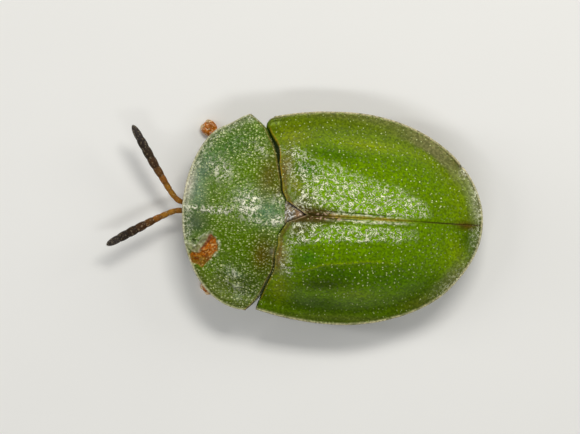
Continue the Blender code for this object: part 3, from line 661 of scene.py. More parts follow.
def neckShield():
    t, s = np.meshgrid(np.linspace(0.0, 1.0, shield["across"]), crowded(shield["along"], 0.4))
    half, reach = shell["shieldHalfWidth"], shell["shoulderX"] - shell["noseX"]
    y = half * np.sin(np.pi * (t - 0.5))
    front = shell["shoulderX"] - reach * np.sqrt(np.clip(1.0 - (y / half) ** 2, 0.0, 1.0))
    cutFrom, cutTo, cut = shield["cornerCut"]
    hind = np.maximum(hindMargin(y) - cut * smoothStep(cutFrom, cutTo, y), front)
    x = front + (hind - front) * s
    height = shieldTop(x, y)
    rim = rimDistance(np.minimum(x, shell["shoulderX"]), y, shell["shoulderX"], reach, reach, half)
    rear = hind - x
    dentX, dentWidth, dentShare = shield["dent"]
    y = y * (1.0 - dentShare * bell(x - dentX, dentWidth) * smoothStep(0.3, 1.6, y))
    points = np.stack([x, y, height], axis=-1)

    def ripple(cell, seed):
        return softNoise(x, y, cell, seed)

    swirl = 2.0 * ovals(x, y, shield["swirls"])
    broken = np.clip(0.60 + 0.70 * ripple(0.042, 11), 0.0, 1.2)
    scarDepth = insidePolygon(x, y, shield["scar"]) + 0.03 * ripple(0.10, 41)
    scar = smoothStep(-0.01, 0.05, scarDepth)
    curl = sum(bell(lineDistance(x, y, line), 0.032) for line in shield["curls"])
    lobe = smoothStep(0.30, 0.55, ovals(x, y, shield["flap"]) + 0.10 * ripple(0.05, 47))
    notch = bell(np.hypot(x - shield["notch"][0], y - shield["notch"][1]), 0.045)
    bright = ovals(x, y, shield["bright"])

    relief = shield["bead"] * broken * bell(rim - shield["beadPlace"], shield["beadWidth"])
    relief += 0.010 * ripple(0.45, 3) + 0.006 * ripple(0.20, 4) - 0.006 * bell(rim - 0.07, 0.03)
    relief += 0.020 * bell(y - 0.04, 0.10) * smoothStep(-1.5, -2.2, x)
    relief -= 0.022 * bell(rear, 0.022) * seamDepthAndShade(y) + 0.010 * bell(rear - 0.10, 0.04)
    relief += swirl * (0.009 * ripple(0.10, 7) + 0.006 * wrinkleNoise(x, y, 0.11, 8))
    relief += scar * (0.018 * ripple(0.06, 42) - 0.050)
    relief += 0.020 * bell(scarDepth + 0.035, 0.03) * smoothStep(-3.05, -2.85, x)
    relief += 0.035 * curl + lobe * (0.050 + 0.014 * ripple(0.05, 48)) - 0.070 * notch

    tint = layered(paint(x, y, colour(shield["base"]), shield["patches"]), [
        # a lighter green over the swirls: painted sheen
        ("#9CC070", 0.10 * swirl),
        ("#98A484", 0.50 * smoothStep(0.30, 0.03, rim) * smoothStep(-1.4, -0.6, y)),
        ("#6A6A2E", 0.50 * smoothStep(0.40, 0.03, rim) * smoothStep(-0.9, -1.6, y)),
    ])
    speckled = smoothStep(-0.5, 0.4, ripple(0.045, 46))
    # darker along the seam to the wing covers: painted shade in the gap
    seamShade = bell(rear, 0.012) * smoothStep(0.10, 0.26, np.abs(y)) * smoothStep(2.0, 1.7, y) * seamDepthAndShade(y)
    tint = layered(paint(x, y, tint, shield["veils"]), [
        ("#E2DAB4", np.clip(0.30 + broken, 0, 1) * bell(rim - 0.012, 0.024)),
        ("#33351C", 0.45 * bell(rim - 0.065, 0.022)),
        ("#B8985A", 0.75 * bell(rear - 0.035, 0.014) * smoothStep(0.5, 1.0, np.abs(y))),
        ("#2A1A0A", 0.75 * seamShade),
        ("#CE6A12", 0.95 * scar),
        ("#8E6418", 0.90 * scar * smoothStep(-1.05, -1.25, y)),
        ("#7A2404", 0.80 * scar * smoothStep(0.10, 0.55, ripple(0.040, 43))),
        ("#F0BC70", 0.85 * scar * smoothStep(0.40, 0.70, ripple(0.036, 44))),
        # a raised ridge along the scar's right border, its pale specks painted glints
        ("#F4ECD2", 0.95 * bell(scarDepth + 0.030, 0.028) * smoothStep(-3.02, -2.88, x) * speckled),
        ("#A0A472", 0.90 * lobe),
        ("#DCDAB4", 0.80 * lobe * smoothStep(0.1, 0.5, ripple(0.042, 49))),
        ("#A0180A", 0.90 * bell(lineDistance(x, y, shield["scarEdge"]), 0.024)
         * (0.80 + 0.4 * ripple(0.06, 45))),
        ("#DCE0C0", 0.70 * curl * speckled),
        # dark in the notch's hollow: painted shade
        ("#1C2810", 0.85 * notch),
    ])

    # where the granules rise, with painted shade between them and painted glints on their dots
    pitMask = (1.0 - 0.8 * np.clip(scar + lobe + curl, 0, 1)) * smoothStep(0.0, 0.07, rim)
    pitMask = pitMask * (0.66 + 0.45 * bright) * (1.0 - ovals(x, y, shield["smooth"]))
    # the net: pale netting along the rim, and painted highlight where the granules shine
    netMask = np.maximum(0.7 * smoothStep(0.32, 0.10, rim) * smoothStep(-1.1, -0.6, y), 0.35 * bright)
    netMask = np.maximum(netMask, ovals(x, y, shield["netted"]))
    plate = closedPlate(points, relief, plateThickness(rim), tint, [swirl, pitMask, netMask])
    addPiece("neckShield", plate, "shieldHorn", ["pronotum"])


neckShield()


# Wing covers

cover = {
    "along": 280, "across": 150, "hairline": 0.008, "splitTurn": 52.0, "seam": 0.014, "scutellumTipX": -0.70,
    "bead": 0.018, "nick": (3.035, 1.420), "tail": (3.24, -0.02, 0.26, 0.10, -3, 0.90, "#5E4410"),
}
coverSides = {
    "right": {
        "node": "elytron_right", "side": 1, "base": "#709400", "outer": "#6C820A", "seed": 20,
        "scutellum": 0.29, "outerCalm": 0.35, "bulge": ([0.0, 1.0], [0.0, 0.0]),
        "patches": [
            (1.20, 1.05, 1.40, 0.50, -4, 0.60, "#78A200"),
            (-1.08, 1.82, 0.46, 0.26, 0, 0.95, "#879600"),
            (-0.10, 1.50, 0.70, 0.13, -5, 0.80, "#4C7600"),
            (0.70, 1.78, 0.85, 0.15, -5, 0.80, "#94A800"),
            (2.00, 1.58, 0.50, 0.11, -20, 0.60, "#88A200"),
            (-0.72, 1.10, 0.30, 0.17, 0, 0.85, "#2C6A10"),
            (-1.17, 1.12, 0.14, 0.40, 0, 0.85, "#867034"),
            (-0.96, 0.70, 0.16, 0.22, 20, 0.80, "#949230"),
            (-0.66, 0.33, 0.30, 0.17, -15, 0.85, "#6E683E"),
            (-1.46, 2.30, 0.16, 0.20, 0, 0.75, "#56641E"),
            (3.05, 0.60, 0.35, 0.60, 0, 0.60, "#84A200"),
            (2.70, 1.15, 0.40, 0.20, -40, 0.50, "#7C9400"),
        ],
        "cornerX": -1.557, "cornerRound": 0.37, "cornerPower": 20,
        "gap": 0.090, "gapPlace": 1.66, "gapWidth": 0.34,
        "margins": [
            (2.35, 1.84, 1.20, 0.50, -38, 1.0, "#8A8656"), (1.2, 2.36, 1.2, 0.12, -6, 0.60, "#84844C"),
            (-0.2, 2.47, 1.2, 0.10, 2, 0.65, "#77743A"), (3.42, 0.72, 0.18, 0.75, 12, 0.80, "#A4A67E"),
            (2.90, 1.50, 0.17, 0.09, -42, 0.75, "#5A4A22"), (3.14, 1.28, 0.12, 0.12, -45, 0.85, "#B8B090"),
        ],
        "nets": [(3.48, 0.72, 0.13, 0.70, 12, 1.2), (3.17, 1.27, 0.12, 0.15, -40, 1.6)],
        # where the lamps' sheen falls, and spots of glints: there the wrinkles' crests are painted highlights
        "gloss": (-0.95, 2.36, 0.10), "sheenEdge": 0.0,
        "sheenTop": ([-0.90, 0.18, 1.02, 1.80, 2.33], [1.44, 1.22, 0.97, 0.70, 0.42]),
        "glintStreaks": [(-1.02, 1.48, 0.26, 0.09, -8, 1.0), (-1.05, 1.15, 0.14, 0.42, 0, 0.65),
                      (-0.50, 0.55, 0.36, 0.28, -20, 1.0)],
        "costa": [(-0.30, 1.86), (0.70, 1.78), (1.80, 1.62)], "costaHeight": 0.004, "costaTint": 0.04,
        "strip": ([-0.70, 0.16, 1.63, 3.00], [0.032, 0.058, 0.042, 0.018]),
        "glint": ([-0.70, 1.60], [0.070, 0.062]),
        "brown": ([-0.70, 0.16, 1.40], [0.115, 0.108, 0.085]), "brownEnd": (1.8, 1.1),
        "goldShare": 0.85, "edgeShare": 0.95, "glintWidth": 0.021, "sutureLine": 0.85,
    },
    "left": {
        # the left cover's darker outer green is partly painted shade of the flank that turns from the lamps
        "node": "elytron_left", "side": -1, "base": "#729A00", "outer": "#527000", "seed": 50,
        "scutellum": 0.205, "outerCalm": 0.60,
        "bulge": ([-1.66, 0.0, 1.6, 2.8, 3.55], [0.026, 0.026, 0.024, 0.036, 0.0]),
        "patches": [
            (1.20, -0.80, 1.60, 0.32, 0, 0.60, "#78A600"),
            (-1.20, -1.74, 0.28, 0.30, 0, 0.95, "#849600"),
            # the next three ovals darken the hollow below the ridge and the outer flank: painted shade
            (0.20, -1.36, 0.85, 0.17, 3, 0.80, "#3E6800"),
            (-0.12, -1.62, 0.70, 0.15, 3, 0.90, "#3A5000"),
            (-0.28, -2.08, 0.60, 0.16, 0, 0.65, "#33500A"),
            (1.50, -1.38, 0.85, 0.26, 6, 0.60, "#467600"),
            (0.68, -1.80, 0.42, 0.11, 0, 0.85, "#7A9800"),
            (2.95, -0.95, 0.36, 0.50, 20, 0.85, "#86AA00"),
            (3.08, -0.72, 0.18, 0.45, 25, 0.60, "#90AA00"),
            (2.25, -1.90, 0.55, 0.16, 22, 0.60, "#66661A"),
            (-1.18, -1.05, 0.15, 0.34, 0, 0.80, "#96803C"),
            (-0.76, -0.33, 0.34, 0.17, 12, 0.85, "#685C34"),
            (-0.55, -1.02, 0.26, 0.16, 0, 0.65, "#3C801A"),
        ],
        "cornerX": -1.66, "cornerRound": 0.16, "cornerPower": 14,
        "gap": 0.0, "gapPlace": 1.10, "gapWidth": 1.20,
        "margins": [
            (3.05, -1.30, 0.62, 0.30, 46, 0.85, "#7C7C4C"), (3.50, -0.35, 0.14, 0.40, 0, 0.6, "#808A5A"),
            (0.8, -2.40, 2.2, 0.10, 0, 0.50, "#6E7232"),
        ],
        "nets": [(3.10, -1.35, 0.75, 0.20, 46, 0.55), (3.52, -0.30, 0.14, 0.50, 0, 0.7)],
        "gloss": (-1.00, 1.95, 0.20), "sheenEdge": 0.9,
        "sheenTop": ([-1.10, 0.03, 0.90, 2.10], [0.72, 0.57, 0.55, 0.46]),
        "glintStreaks": [(-1.06, -1.28, 0.16, 0.12, -40, 1.4), (-1.02, -0.86, 0.14, 0.26, 0, 0.45),
                      (-0.60, -0.38, 0.26, 0.15, 0, 1.0)],
        "costa": [(-0.84, -1.38), (-0.15, -1.165), (0.87, -1.03), (1.6, -1.02)],
        "costaHeight": 0.018, "costaTint": 0.60,
        "strip": ([-0.70, 0.16, 1.63, 3.00], [0.028, 0.044, 0.032, 0.018]),
        "glint": ([-0.30, 0.60, 1.60], [0.080, 0.084, 0.070]),
        "brown": ([-0.70, 0.0, 1.0], [0.060, 0.055, 0.048]), "brownEnd": (1.2, 0.3),
        "goldShare": 0.80, "edgeShare": 0.60, "glintWidth": 0.034, "sutureLine": 0.0,
    },
}


def coverGrid(look):
    # a patch between four edges: seam to the shield, suture, rim and the turn of the tail
    wideX, tailX, hairline = shell["coverWideX"], shell["tailX"], cover["hairline"]
    s, t = crowded(cover["along"], 0.3), crowded(cover["across"], 0.4)
    side = look["side"]
    y = np.linspace(hairline, float(coverWidth(np.array(look["cornerX"]))), 800)
    slope = (cover["scutellumTipX"] - shell["hindMarginX"]) / look["scutellum"]
    frontX = np.maximum(hindMargin(side * y) + cover["seam"], cover["scutellumTipX"] + 0.03 - slope * y)
    frontX = frontX + look["cornerRound"] * (y / y[-1]) ** look["cornerPower"]
    frontEdge = np.stack([frontX, y], axis=1)
    fore = np.linspace(frontX[-1], wideX, 300)
    turn = np.radians(np.linspace(0.0, 90.0, 600))[1:]
    rear = np.stack([wideX + (tailX - wideX) * np.sin(turn), shell["coverHalfWidth"] * np.cos(turn)], axis=1)
    cut = int(np.searchsorted(np.degrees(turn), cover["splitTurn"]))
    rim = np.concatenate([np.stack([fore, coverWidth(fore)], axis=1), rear[:cut]])
    rim[0] = frontEdge[-1]
    hindEdge = rear[cut - 1:][::-1].copy()
    hindEdge[0] = (tailX, hairline)
    suture = np.stack([np.linspace(frontX[0], tailX, 500), np.full(500, hairline)], axis=1)
    low, high = resample(suture, s), resample(rim, s)
    near, far = resample(frontEdge, t), resample(hindEdge, t)
    u, v = s[:, None, None], t[None, :, None]
    plan = ((1 - v) * low[:, None] + v * high[:, None] + (1 - u) * near[None] + u * far[None]
            - (1 - u) * (1 - v) * low[0] - (1 - u) * v * high[0] - u * (1 - v) * low[-1] - u * v * high[-1])
    x, y = plan[..., 0], plan[..., 1]
    square = np.where(y < look["scutellum"], 1 / np.hypot(1, slope), 0.98)
    return x, side * y, (x - np.interp(y, frontEdge[:, 1], frontEdge[:, 0])) * square


def wingCover(name, look):
    side, seed = look["side"], look["seed"]
    x, y, baseAway = coverGrid(look)
    away = np.abs(y)
    fuller = 1.0 + np.interp(x, *look["bulge"]) * smoothStep(0.6, 1.8, away)
    points = np.stack([x, y * fuller, coverTop(x, y)], axis=-1)
    rim = rimDistance(x, y, shell["coverWideX"], shell["coverFrontReach"], shell["tailX"] - shell["coverWideX"],
                      shell["coverHalfWidth"])

    def ripple(cell, number):
        return softNoise(x, y, cell, seed + number)

    broken = np.clip(0.60 + 0.70 * ripple(0.042, 9), 0.0, 1.2)
    gap = look["gap"] * bell(away - look["gapPlace"], look["gapWidth"])
    # a sunken groove where the seam opens, darkened below as painted shade
    shadedGroove = smoothStep(gap + 0.012, gap - 0.012, baseAway) * smoothStep(0.018, 0.028, gap)
    edgeAway = baseAway - gap

    costaX, costaY = np.array(look["costa"]).T
    first, last = costaX[0], costaX[-1]
    costaShare = smoothStep(first - 0.1, first + 0.3, x) * smoothStep(last + 0.3, last - 0.9, x)
    costaAway = y - np.interp(x, costaX, costaY)
    crest, valley = bell(costaAway, 0.026) * costaShare, bell(costaAway - side * 0.16, 0.14) * costaShare

    # the zone where the lamps' sheen falls: wrinkled, with painted highlights on the crests and a painted
    # lighter green
    startX, endX, lowY = look["gloss"]
    sheenTop = np.interp(x, *look["sheenTop"]) + 0.07 * ripple(0.3, 3)
    bentX = x + 0.1 * ripple(0.2, 2)
    gloss = smoothStep(startX - 0.1, startX + 0.2, x) * smoothStep(endX + 0.15, endX - 0.45, bentX)
    inner = 0.45 + 0.55 * smoothStep(sheenTop, 0.65 * sheenTop, away)
    inner = inner * smoothStep(sheenTop + 0.05, sheenTop - 0.10, away)
    inner = inner + look["sheenEdge"] * bell(away - sheenTop + 0.03, 0.05)
    gloss = gloss * smoothStep(lowY - 0.04, lowY + 0.06, away) * inner
    # wrinkles in the sheen zone and at the spots of glints; their crests are painted highlights
    wrinkled = np.clip(gloss + ovals(x, y, look["glintStreaks"]), 0.0, 1.0)
    wrinkled = wrinkled * (1.0 - 0.85 * bell(away - 0.04, 0.15) * smoothStep(0.35, -0.25, x))

    strip, glintPlace, brownPlace = (np.interp(x, *look[key]) for key in ("strip", "glint", "brown"))
    patchy = np.clip(0.70 + 0.50 * softNoise(x, 3 * y, 0.07, seed + 12), 0.0, 1.0)
    band = smoothStep(strip + 0.010, strip - 0.010, away) * patchy
    band = band * smoothStep(-0.35, 0.10, x) * smoothStep(2.2, 1.2, x)
    # a slightly raised line beside the suture, its pale colour a painted glint, broken by noise
    sutureGlintLine = bell(away - glintPlace, look["glintWidth"]) * smoothStep(-0.3, 0.2, x) * smoothStep(2.1, 1.2, x)
    sutureGlintLine = sutureGlintLine * smoothStep(-0.40, 0.10, ripple(0.035, 13) + 0.15)
    brownLine = bell(away - brownPlace, 0.013) * smoothStep(-0.80, -0.60, x) * smoothStep(*look["brownEnd"], x)
    nickAway = np.hypot(x - cover["nick"][0], y - cover["nick"][1])

    relief = cover["bead"] * broken * bell(rim - 0.022, 0.018) - 0.006 * bell(rim - 0.075, 0.03)
    relief += 0.010 * ripple(0.55, 0) + 0.006 * ripple(0.24, 1) - 0.014 * bell(away, 0.014)
    relief += (0.014 * bell(edgeAway - 0.030, 0.016) - 0.030 * bell(baseAway, 0.014) * seamDepthAndShade(y)
               - 0.11 * shadedGroove)
    relief += 0.012 * sutureGlintLine - 0.016 * brownLine + look["costaHeight"] * (crest - 0.8 * valley)
    relief += wrinkled * (0.022 * ripple(0.10, 5) + 0.010 * wrinkleNoise(x, y, 0.10, seed + 6))
    relief -= 0.030 * smoothStep(0.55, 0.05, baseAway) * bell(away - 0.62, 0.22) + 0.05 * bell(nickAway, 0.045)

    tint = blend(colour(look["base"]), colour(look["outer"]), smoothStep(0.80, 0.30, rim))
    tint = paint(x, y, tint, look["patches"])
    hyaline = smoothStep(0.44, 0.30, rim + 0.05 * ripple(0.12, 7))
    tint = blend(tint, paint(x, y, tint, look["margins"]), hyaline)
    basal = smoothStep(0.45, 0.05, edgeAway) * smoothStep(1.75, 1.3, away)
    tint = layered(tint, [
        # a lighter green in the sheen zone: painted sheen
        ("#94CC08", 0.58 * np.clip(gloss, 0, 1) * smoothStep(-0.9, 0.0, x)),
        ("#A8C000", look["costaTint"] * crest),
        # pale streaks on the wrinkles behind the base: painted glints
        ("#B8B494", 0.35 * basal * wrinkleNoise(x, y, 0.08, seed + 8)),
        ("#7A5028", 0.65 * bell(edgeAway - 0.085, 0.050) * smoothStep(1.6, 1.1, away)),
        ("#4E381C", 0.80 * bell(away - 0.12, 0.13) * smoothStep(0.35, -0.4, x)),
        ("#4A2E16", 0.90 * bell(away - 0.03, 0.110) * smoothStep(0.55, -0.10, x)),
        ("#C8AA3C", look["goldShare"] * band),
        # the pale line: painted glint
        ("#F6F4D0", np.clip(1.5 * sutureGlintLine * broken, 0, 0.95)),
    ])
    tint = blend(tint, blend(colour("#4A2A10"), colour("#2C3C08"), smoothStep(-0.2, 0.3, x)), 0.90 * brownLine)
    hairline = 1.0 - 0.60 * smoothStep(-0.25, 0.05, x) * smoothStep(2.5, 1.9, x)
    # pinkish specks near the scutellum: painted glints
    glints = bell(away - 0.060, 0.035) * smoothStep(-0.75, -0.4, x) * smoothStep(0.40, 0.10, x)
    tint = layered(tint, [
        ("#45260C", 0.95 * hairline * bell(away, 0.018)),
        ("#140A04", bell(away - 0.030, 0.012) * smoothStep(-0.05, -0.35, x) * look["sutureLine"]),
        ("#E4BEA4", 0.85 * glints * smoothStep(0.30, 0.60, ripple(0.034, 14))),
    ])
    tint = paint(x, y, tint, [cover["tail"]])
    edge = look["edgeShare"] * bell(edgeAway - 0.024, 0.014) * smoothStep(2.15, 1.9, away)
    edge = edge * np.clip(0.5 + broken, 0, 1)
    tint = blend(tint, blend(colour("#D8B890"), colour("#BE8C20"), smoothStep(0.18, 0.30, away)), edge)
    tint = layered(tint, [
        # darkest in the groove and along the seam: painted shade
        ("#131B07", np.clip(shadedGroove + 0.9 * bell(baseAway, 0.011) * seamDepthAndShade(y), 0, 1)
         * smoothStep(2.2, 2.0, y)),
        ("#4E4A1C", 0.55 * bell(rim - 0.058, 0.016)),
        ("#E8DAB0", np.clip(0.30 + broken, 0, 1) * bell(rim - 0.014, 0.024)),
        ("#120C06", 0.95 * bell(nickAway, 0.035)),
    ])

    # where the pits sink: painted shade in them and painted glints on their dots
    pitMask = smoothStep(0.02, 0.10, rim) * smoothStep(0.02, 0.10, away - strip) * (1.0 - shadedGroove)
    pitMask = pitMask * (1.0 - look["outerCalm"] * smoothStep(1.0, 0.5, rim))
    netMask = ovals(x, y, look["nets"]) * hyaline
    plate = closedPlate(points, relief, plateThickness(rim), tint, [wrinkled, pitMask, netMask])
    addPiece(name, plate, "coverHorn", [look["node"]])


wingCover("wingCoverRight", coverSides["right"])
wingCover("wingCoverLeft", coverSides["left"])


# Scutellum

plateLook = {
    "baseX": -1.15, "tipX": -0.725, "rightWidth": 0.285, "leftWidth": 0.205, "sink": 0.02, "thickness": 0.08,
}


def scutellumPlate():
    # a triangle as a grid that narrows to its tip, with a rough field whose pale bumps are painted glints, and
    # dark edges that are painted shade, darker on the right side
    v, u = np.meshgrid(np.linspace(-1.0, 1.0, 60), np.linspace(0.0, 1.0, 60))
    x = plateLook["baseX"] + (plateLook["tipX"] - plateLook["baseX"]) * u * (1.0 - 0.10 * (1 - v ** 2) * (1 - u))
    y = v * np.where(v > 0, plateLook["rightWidth"], plateLook["leftWidth"]) * (1.0 - u) ** 0.92 + v * 0.008
    points = np.stack([x, y, coverTop(x, 0.0) - plateLook["sink"]], axis=-1)
    edge = np.minimum(1.0 - np.abs(v), (1.0 - u) * 2.5)
    field = smoothStep(0.02, 0.35, edge)
    bumps = smoothStep(0.25, 0.65, wrinkleNoise(x, y, 0.048, 63))
    relief = field * (0.020 + 0.020 * softNoise(x, y, 0.06, 61) + 0.016 * bumps)
    tint = layered(colour("#8A7E54"), [
        ("#B08458", 0.8 * smoothStep(0.30, 0.70, u + 0.2 * softNoise(x, y, 0.08, 64))),
        ("#3A3A22", 0.7 * smoothStep(0.0, 0.5, softNoise(x, y, 0.040, 65)) * smoothStep(0.7, 0.4, u)),
        # pale bumps: painted glints
        ("#FBF8F0", 0.95 * field * bumps * smoothStep(0.65, 0.45, u)),
        ("#F4E8DC", 0.8 * bell(u - 0.86, 0.07) * bell(v, 0.5)),
        # dark edges: painted shade, darker on the right side
        ("#1E120A", (0.80 + 0.15 * np.sign(v)) * smoothStep(0.18, 0.06, edge) * smoothStep(0.0, 0.15, u)),
    ])
    plate = closedPlate(points, relief, np.full(x.shape, plateLook["thickness"]), tint)
    addPiece("scutellumPlate", plate, "scutellumHorn", ["scutellum"])


scutellumPlate()


# Underside: breast plates and the ringed belly, one skin

trunk = {
    "frontX": -2.42, "rearX": 2.62, "wideX": 0.45, "halfWidth": 1.75, "sideHeight": 0.96, "bottom": 0.70,
    "clearance": 0.36, "waistX": 0.05, "rings": 5, "seams": (-1.42, -0.62), "along": 220, "around": 120,
    "black": "#1B140F", "belly": "#241C12", "pale": "#8C8A3A",
}


def trunkRoof(x, y):
    # how high the trunk may stand under the shell
    step = 0.02
    top = lambda a, b: np.where(x < shell["hindMarginX"], shieldTop(a, b), coverTop(a, b))
    slopeX = (top(x + step, y) - top(x - step, y)) / (2 * step)
    slopeY = (top(x, y + step) - top(x, y - step)) / (2 * step)
    return top(x, y) - trunk["clearance"] * np.sqrt(1.0 + slopeX ** 2 + slopeY ** 2)


def underside():
    frontX, rearX, wideX, sideHeight = (trunk[key] for key in ("frontX", "rearX", "wideX", "sideHeight"))
    x = np.linspace(frontX, rearX, trunk["along"])[:, None]
    behind = np.clip((x - wideX) / (rearX - wideX), 0.0, 1.0)
    ahead = np.clip((wideX - x) / (wideX - frontX), 0.0, 1.0)
    limit = trunk["halfWidth"] * (1.0 - 0.35 * behind ** 3) * (1.0 - 0.62 * ahead ** 2)
    across = np.linspace(0.0, 1.0, 160)[None, :] * limit
    room = trunkRoof(x, across) > sideHeight
    width = np.maximum((across * room).max(axis=1), 0.1)
    width = np.convolve(np.pad(width, 4, mode="edge"), np.ones(9) / 9, mode="valid")[:, None]
    turn = np.linspace(0.0, 2 * np.pi, trunk["around"], endpoint=False)[None, :]
    y = width * np.cos(turn)
    x, rise = np.broadcast_arrays(x, np.sin(turn))
    end = np.clip(np.minimum((x - frontX) / 0.35, (rearX - x) / 0.6), 0.0, 1.0)
    ring = (x - trunk["waistX"]) / (rearX - trunk["waistX"]) * trunk["rings"]
    groove = bell(ring - np.round(ring), 0.09) * (x > trunk["waistX"] - 0.1)
    depth = (sideHeight - trunk["bottom"]) * (0.4 + 0.6 * np.sqrt(end)) - 0.03 * groove
    depth += 0.02 * bell(y, 0.25) * smoothStep(-0.2, -1.0, x) - 0.02 * bell(y, 0.03) * (x < 0.0)
    depth -= sum(0.03 * bell(x - seamX - 0.25 * np.abs(y), 0.03) for seamX in trunk["seams"])
    roof = sideHeight + (trunkRoof(x, y) - sideHeight) * np.clip(rise, 0, 1) ** 0.3
    z = np.where(rise > 0, roof, sideHeight - depth * np.abs(rise) ** 0.7)
    points = np.stack([x, y, z], axis=-1)
    black = colour(trunk["black"])
    tint = layered(black, [
        (trunk["belly"], smoothStep(-0.1, 0.1, x)),
        (trunk["pale"], 0.9 * smoothStep(0.74, 0.90, np.abs(y) / width) * smoothStep(-0.3, 0.3, x)),
        (trunk["pale"], 0.8 * smoothStep(2.2, 2.5, x)),
    ])
    quads, fans = ringFaces(*y.shape)
    skin = {"points": np.concatenate([points.reshape(-1, 3), points[[0, -1]].mean(axis=1)]),
            "quads": quads[:, [0, 3, 2, 1]], "triangles": fans[:, [1, 0, 2]],
            "tint": np.concatenate([tint.reshape(-1, 3), [black, black]])}
    addPiece("underside", skin, "undersideHorn", ["prothorax", "thorax", "abdomen"])


underside()


# Head, eyes and mouth

headLook = {
    "centre": np.array([-2.86, 0.0, 0.72]), "radii": (0.38, 0.45, 0.29),
    "eye": np.array([-0.03, 0.40, 0.02]), "eyeRadii": (0.19, 0.12, 0.19),
    "black": "#1A120D", "lip": "#5A3A1C", "jaw": "#2A180D", "palp": "#8A5A22", "eyeTint": "#120C08",
}


def headPieces():
    centre = headLook["centre"]
    tints = (colour(headLook[key]) for key in ("black", "lip", "jaw", "palp", "eyeTint"))
    black, lip, jawTint, palp, eyeTint = tints
    parts = [ball(centre, headLook["radii"], black, 48, 64),
             ball(centre + (0.05, 0.0, -0.20), (0.22, 0.26, 0.16), black, 30, 40),
             ball(centre + (-0.10, 0.0, -0.235), (0.10, 0.17, 0.045), lip, 20, 32)]
    shares = np.linspace(0.0, 1.0, 14)
    for side, word in ((-1, "left"), (1, "right")):
        jaw = centre + (0.06, 0.08 * side, -0.30)
        route = np.array([jaw, jaw + (0.07, 0.015 * side, -0.07), jaw + (0.13, -0.045 * side, -0.13)])
        parts.append(tube(resample(route, shares), 0.075 * (1.02 - shares ** 1.5), jawTint, 16, 0.7))
        knots = centre + np.array([(0.14, 0.17 * side, -0.24), (0.20, 0.21 * side, -0.30),
                                   (0.29, 0.25 * side, -0.32), (0.36, 0.26 * side, -0.33)])
        for first, last, radius in zip(knots[:-1], knots[1:], (0.035, 0.036, 0.032)):
            radii = (np.linalg.norm(last - first) * 0.62, radius, radius)
            parts.append(ball((first + last) / 2, radii, palp, 12, 12, last - first))
        parts.append(ball(centre + (-0.33, 0.19 * side, -0.06), (0.09, 0.11, 0.10), black))
        eye = ball(centre + headLook["eye"] * (1, side, 1), headLook["eyeRadii"], eyeTint, 40, 48)
        addPiece("eye" + word.capitalize(), eye, "eyeFacets", ["eye_" + word])
    addPiece("headCapsule", joined(parts), "headHorn", ["head"])


headPieces()


# Feelers: eleven joints, slim and amber first, then a dark hairy club

feeler = {
    "routes": {
        "right": [(-3.24, 0.18, 0.63), (-3.31, 0.17, 0.62), (-3.79, 0.165, 0.64),
                  (-4.29, 0.81, 0.73), (-4.60, 1.28, 0.78), (-5.00, 1.91, 0.82)],
        "left": [(-3.24, -0.17, 0.63), (-3.31, -0.16, 0.62), (-3.75, -0.09, 0.64),
                 (-4.13, -0.24, 0.68), (-4.76, -0.61, 0.74), (-5.45, -1.04, 0.78)],
    },
    "lengths": [0.30, 0.15, 0.19, 0.20, 0.20, 0.20, 0.24, 0.25, 0.25, 0.25, 0.36],
    "radii": [0.084, 0.068, 0.069, 0.071, 0.074, 0.080, 0.093, 0.107, 0.113, 0.111, 0.104],
    "colours": ["#8A5A0C", "#A0680E", "#A66C16", "#A8741A", "#A46E16", "#965C12", "#66400E", "#462A0A",
                "#32200A", "#2A1E14", "#38302A"],
    "rings": 12, "sides": 28, "hairs": 700, "hairLength": 0.034, "hairRadius": 0.0030, "hairTint": "#B0A48E",
}


def curvedRoute(knots, count):
    # a smooth curve through the knots, evenly spaced: each stretch is a cubic of its four nearest knots
    knots = np.asarray(knots, float)
    padded = np.concatenate([2 * knots[:1] - knots[1:2], knots, 2 * knots[-1:] - knots[-2:-1]])
    u = np.linspace(0.0, 1.0, 40, endpoint=False)[None, :, None]
    a, b, c, d = (padded[k:len(padded) - 3 + k, None] for k in range(4))
    dense = 0.5 * (2 * b + (c - a) * u + (2 * a - 5 * b + 4 * c - d) * u ** 2 + (3 * b - a - 3 * c + d) * u ** 3)
    return resample(np.concatenate([dense.reshape(-1, 3), knots[-1:]]), np.linspace(0.0, 1.0, count))


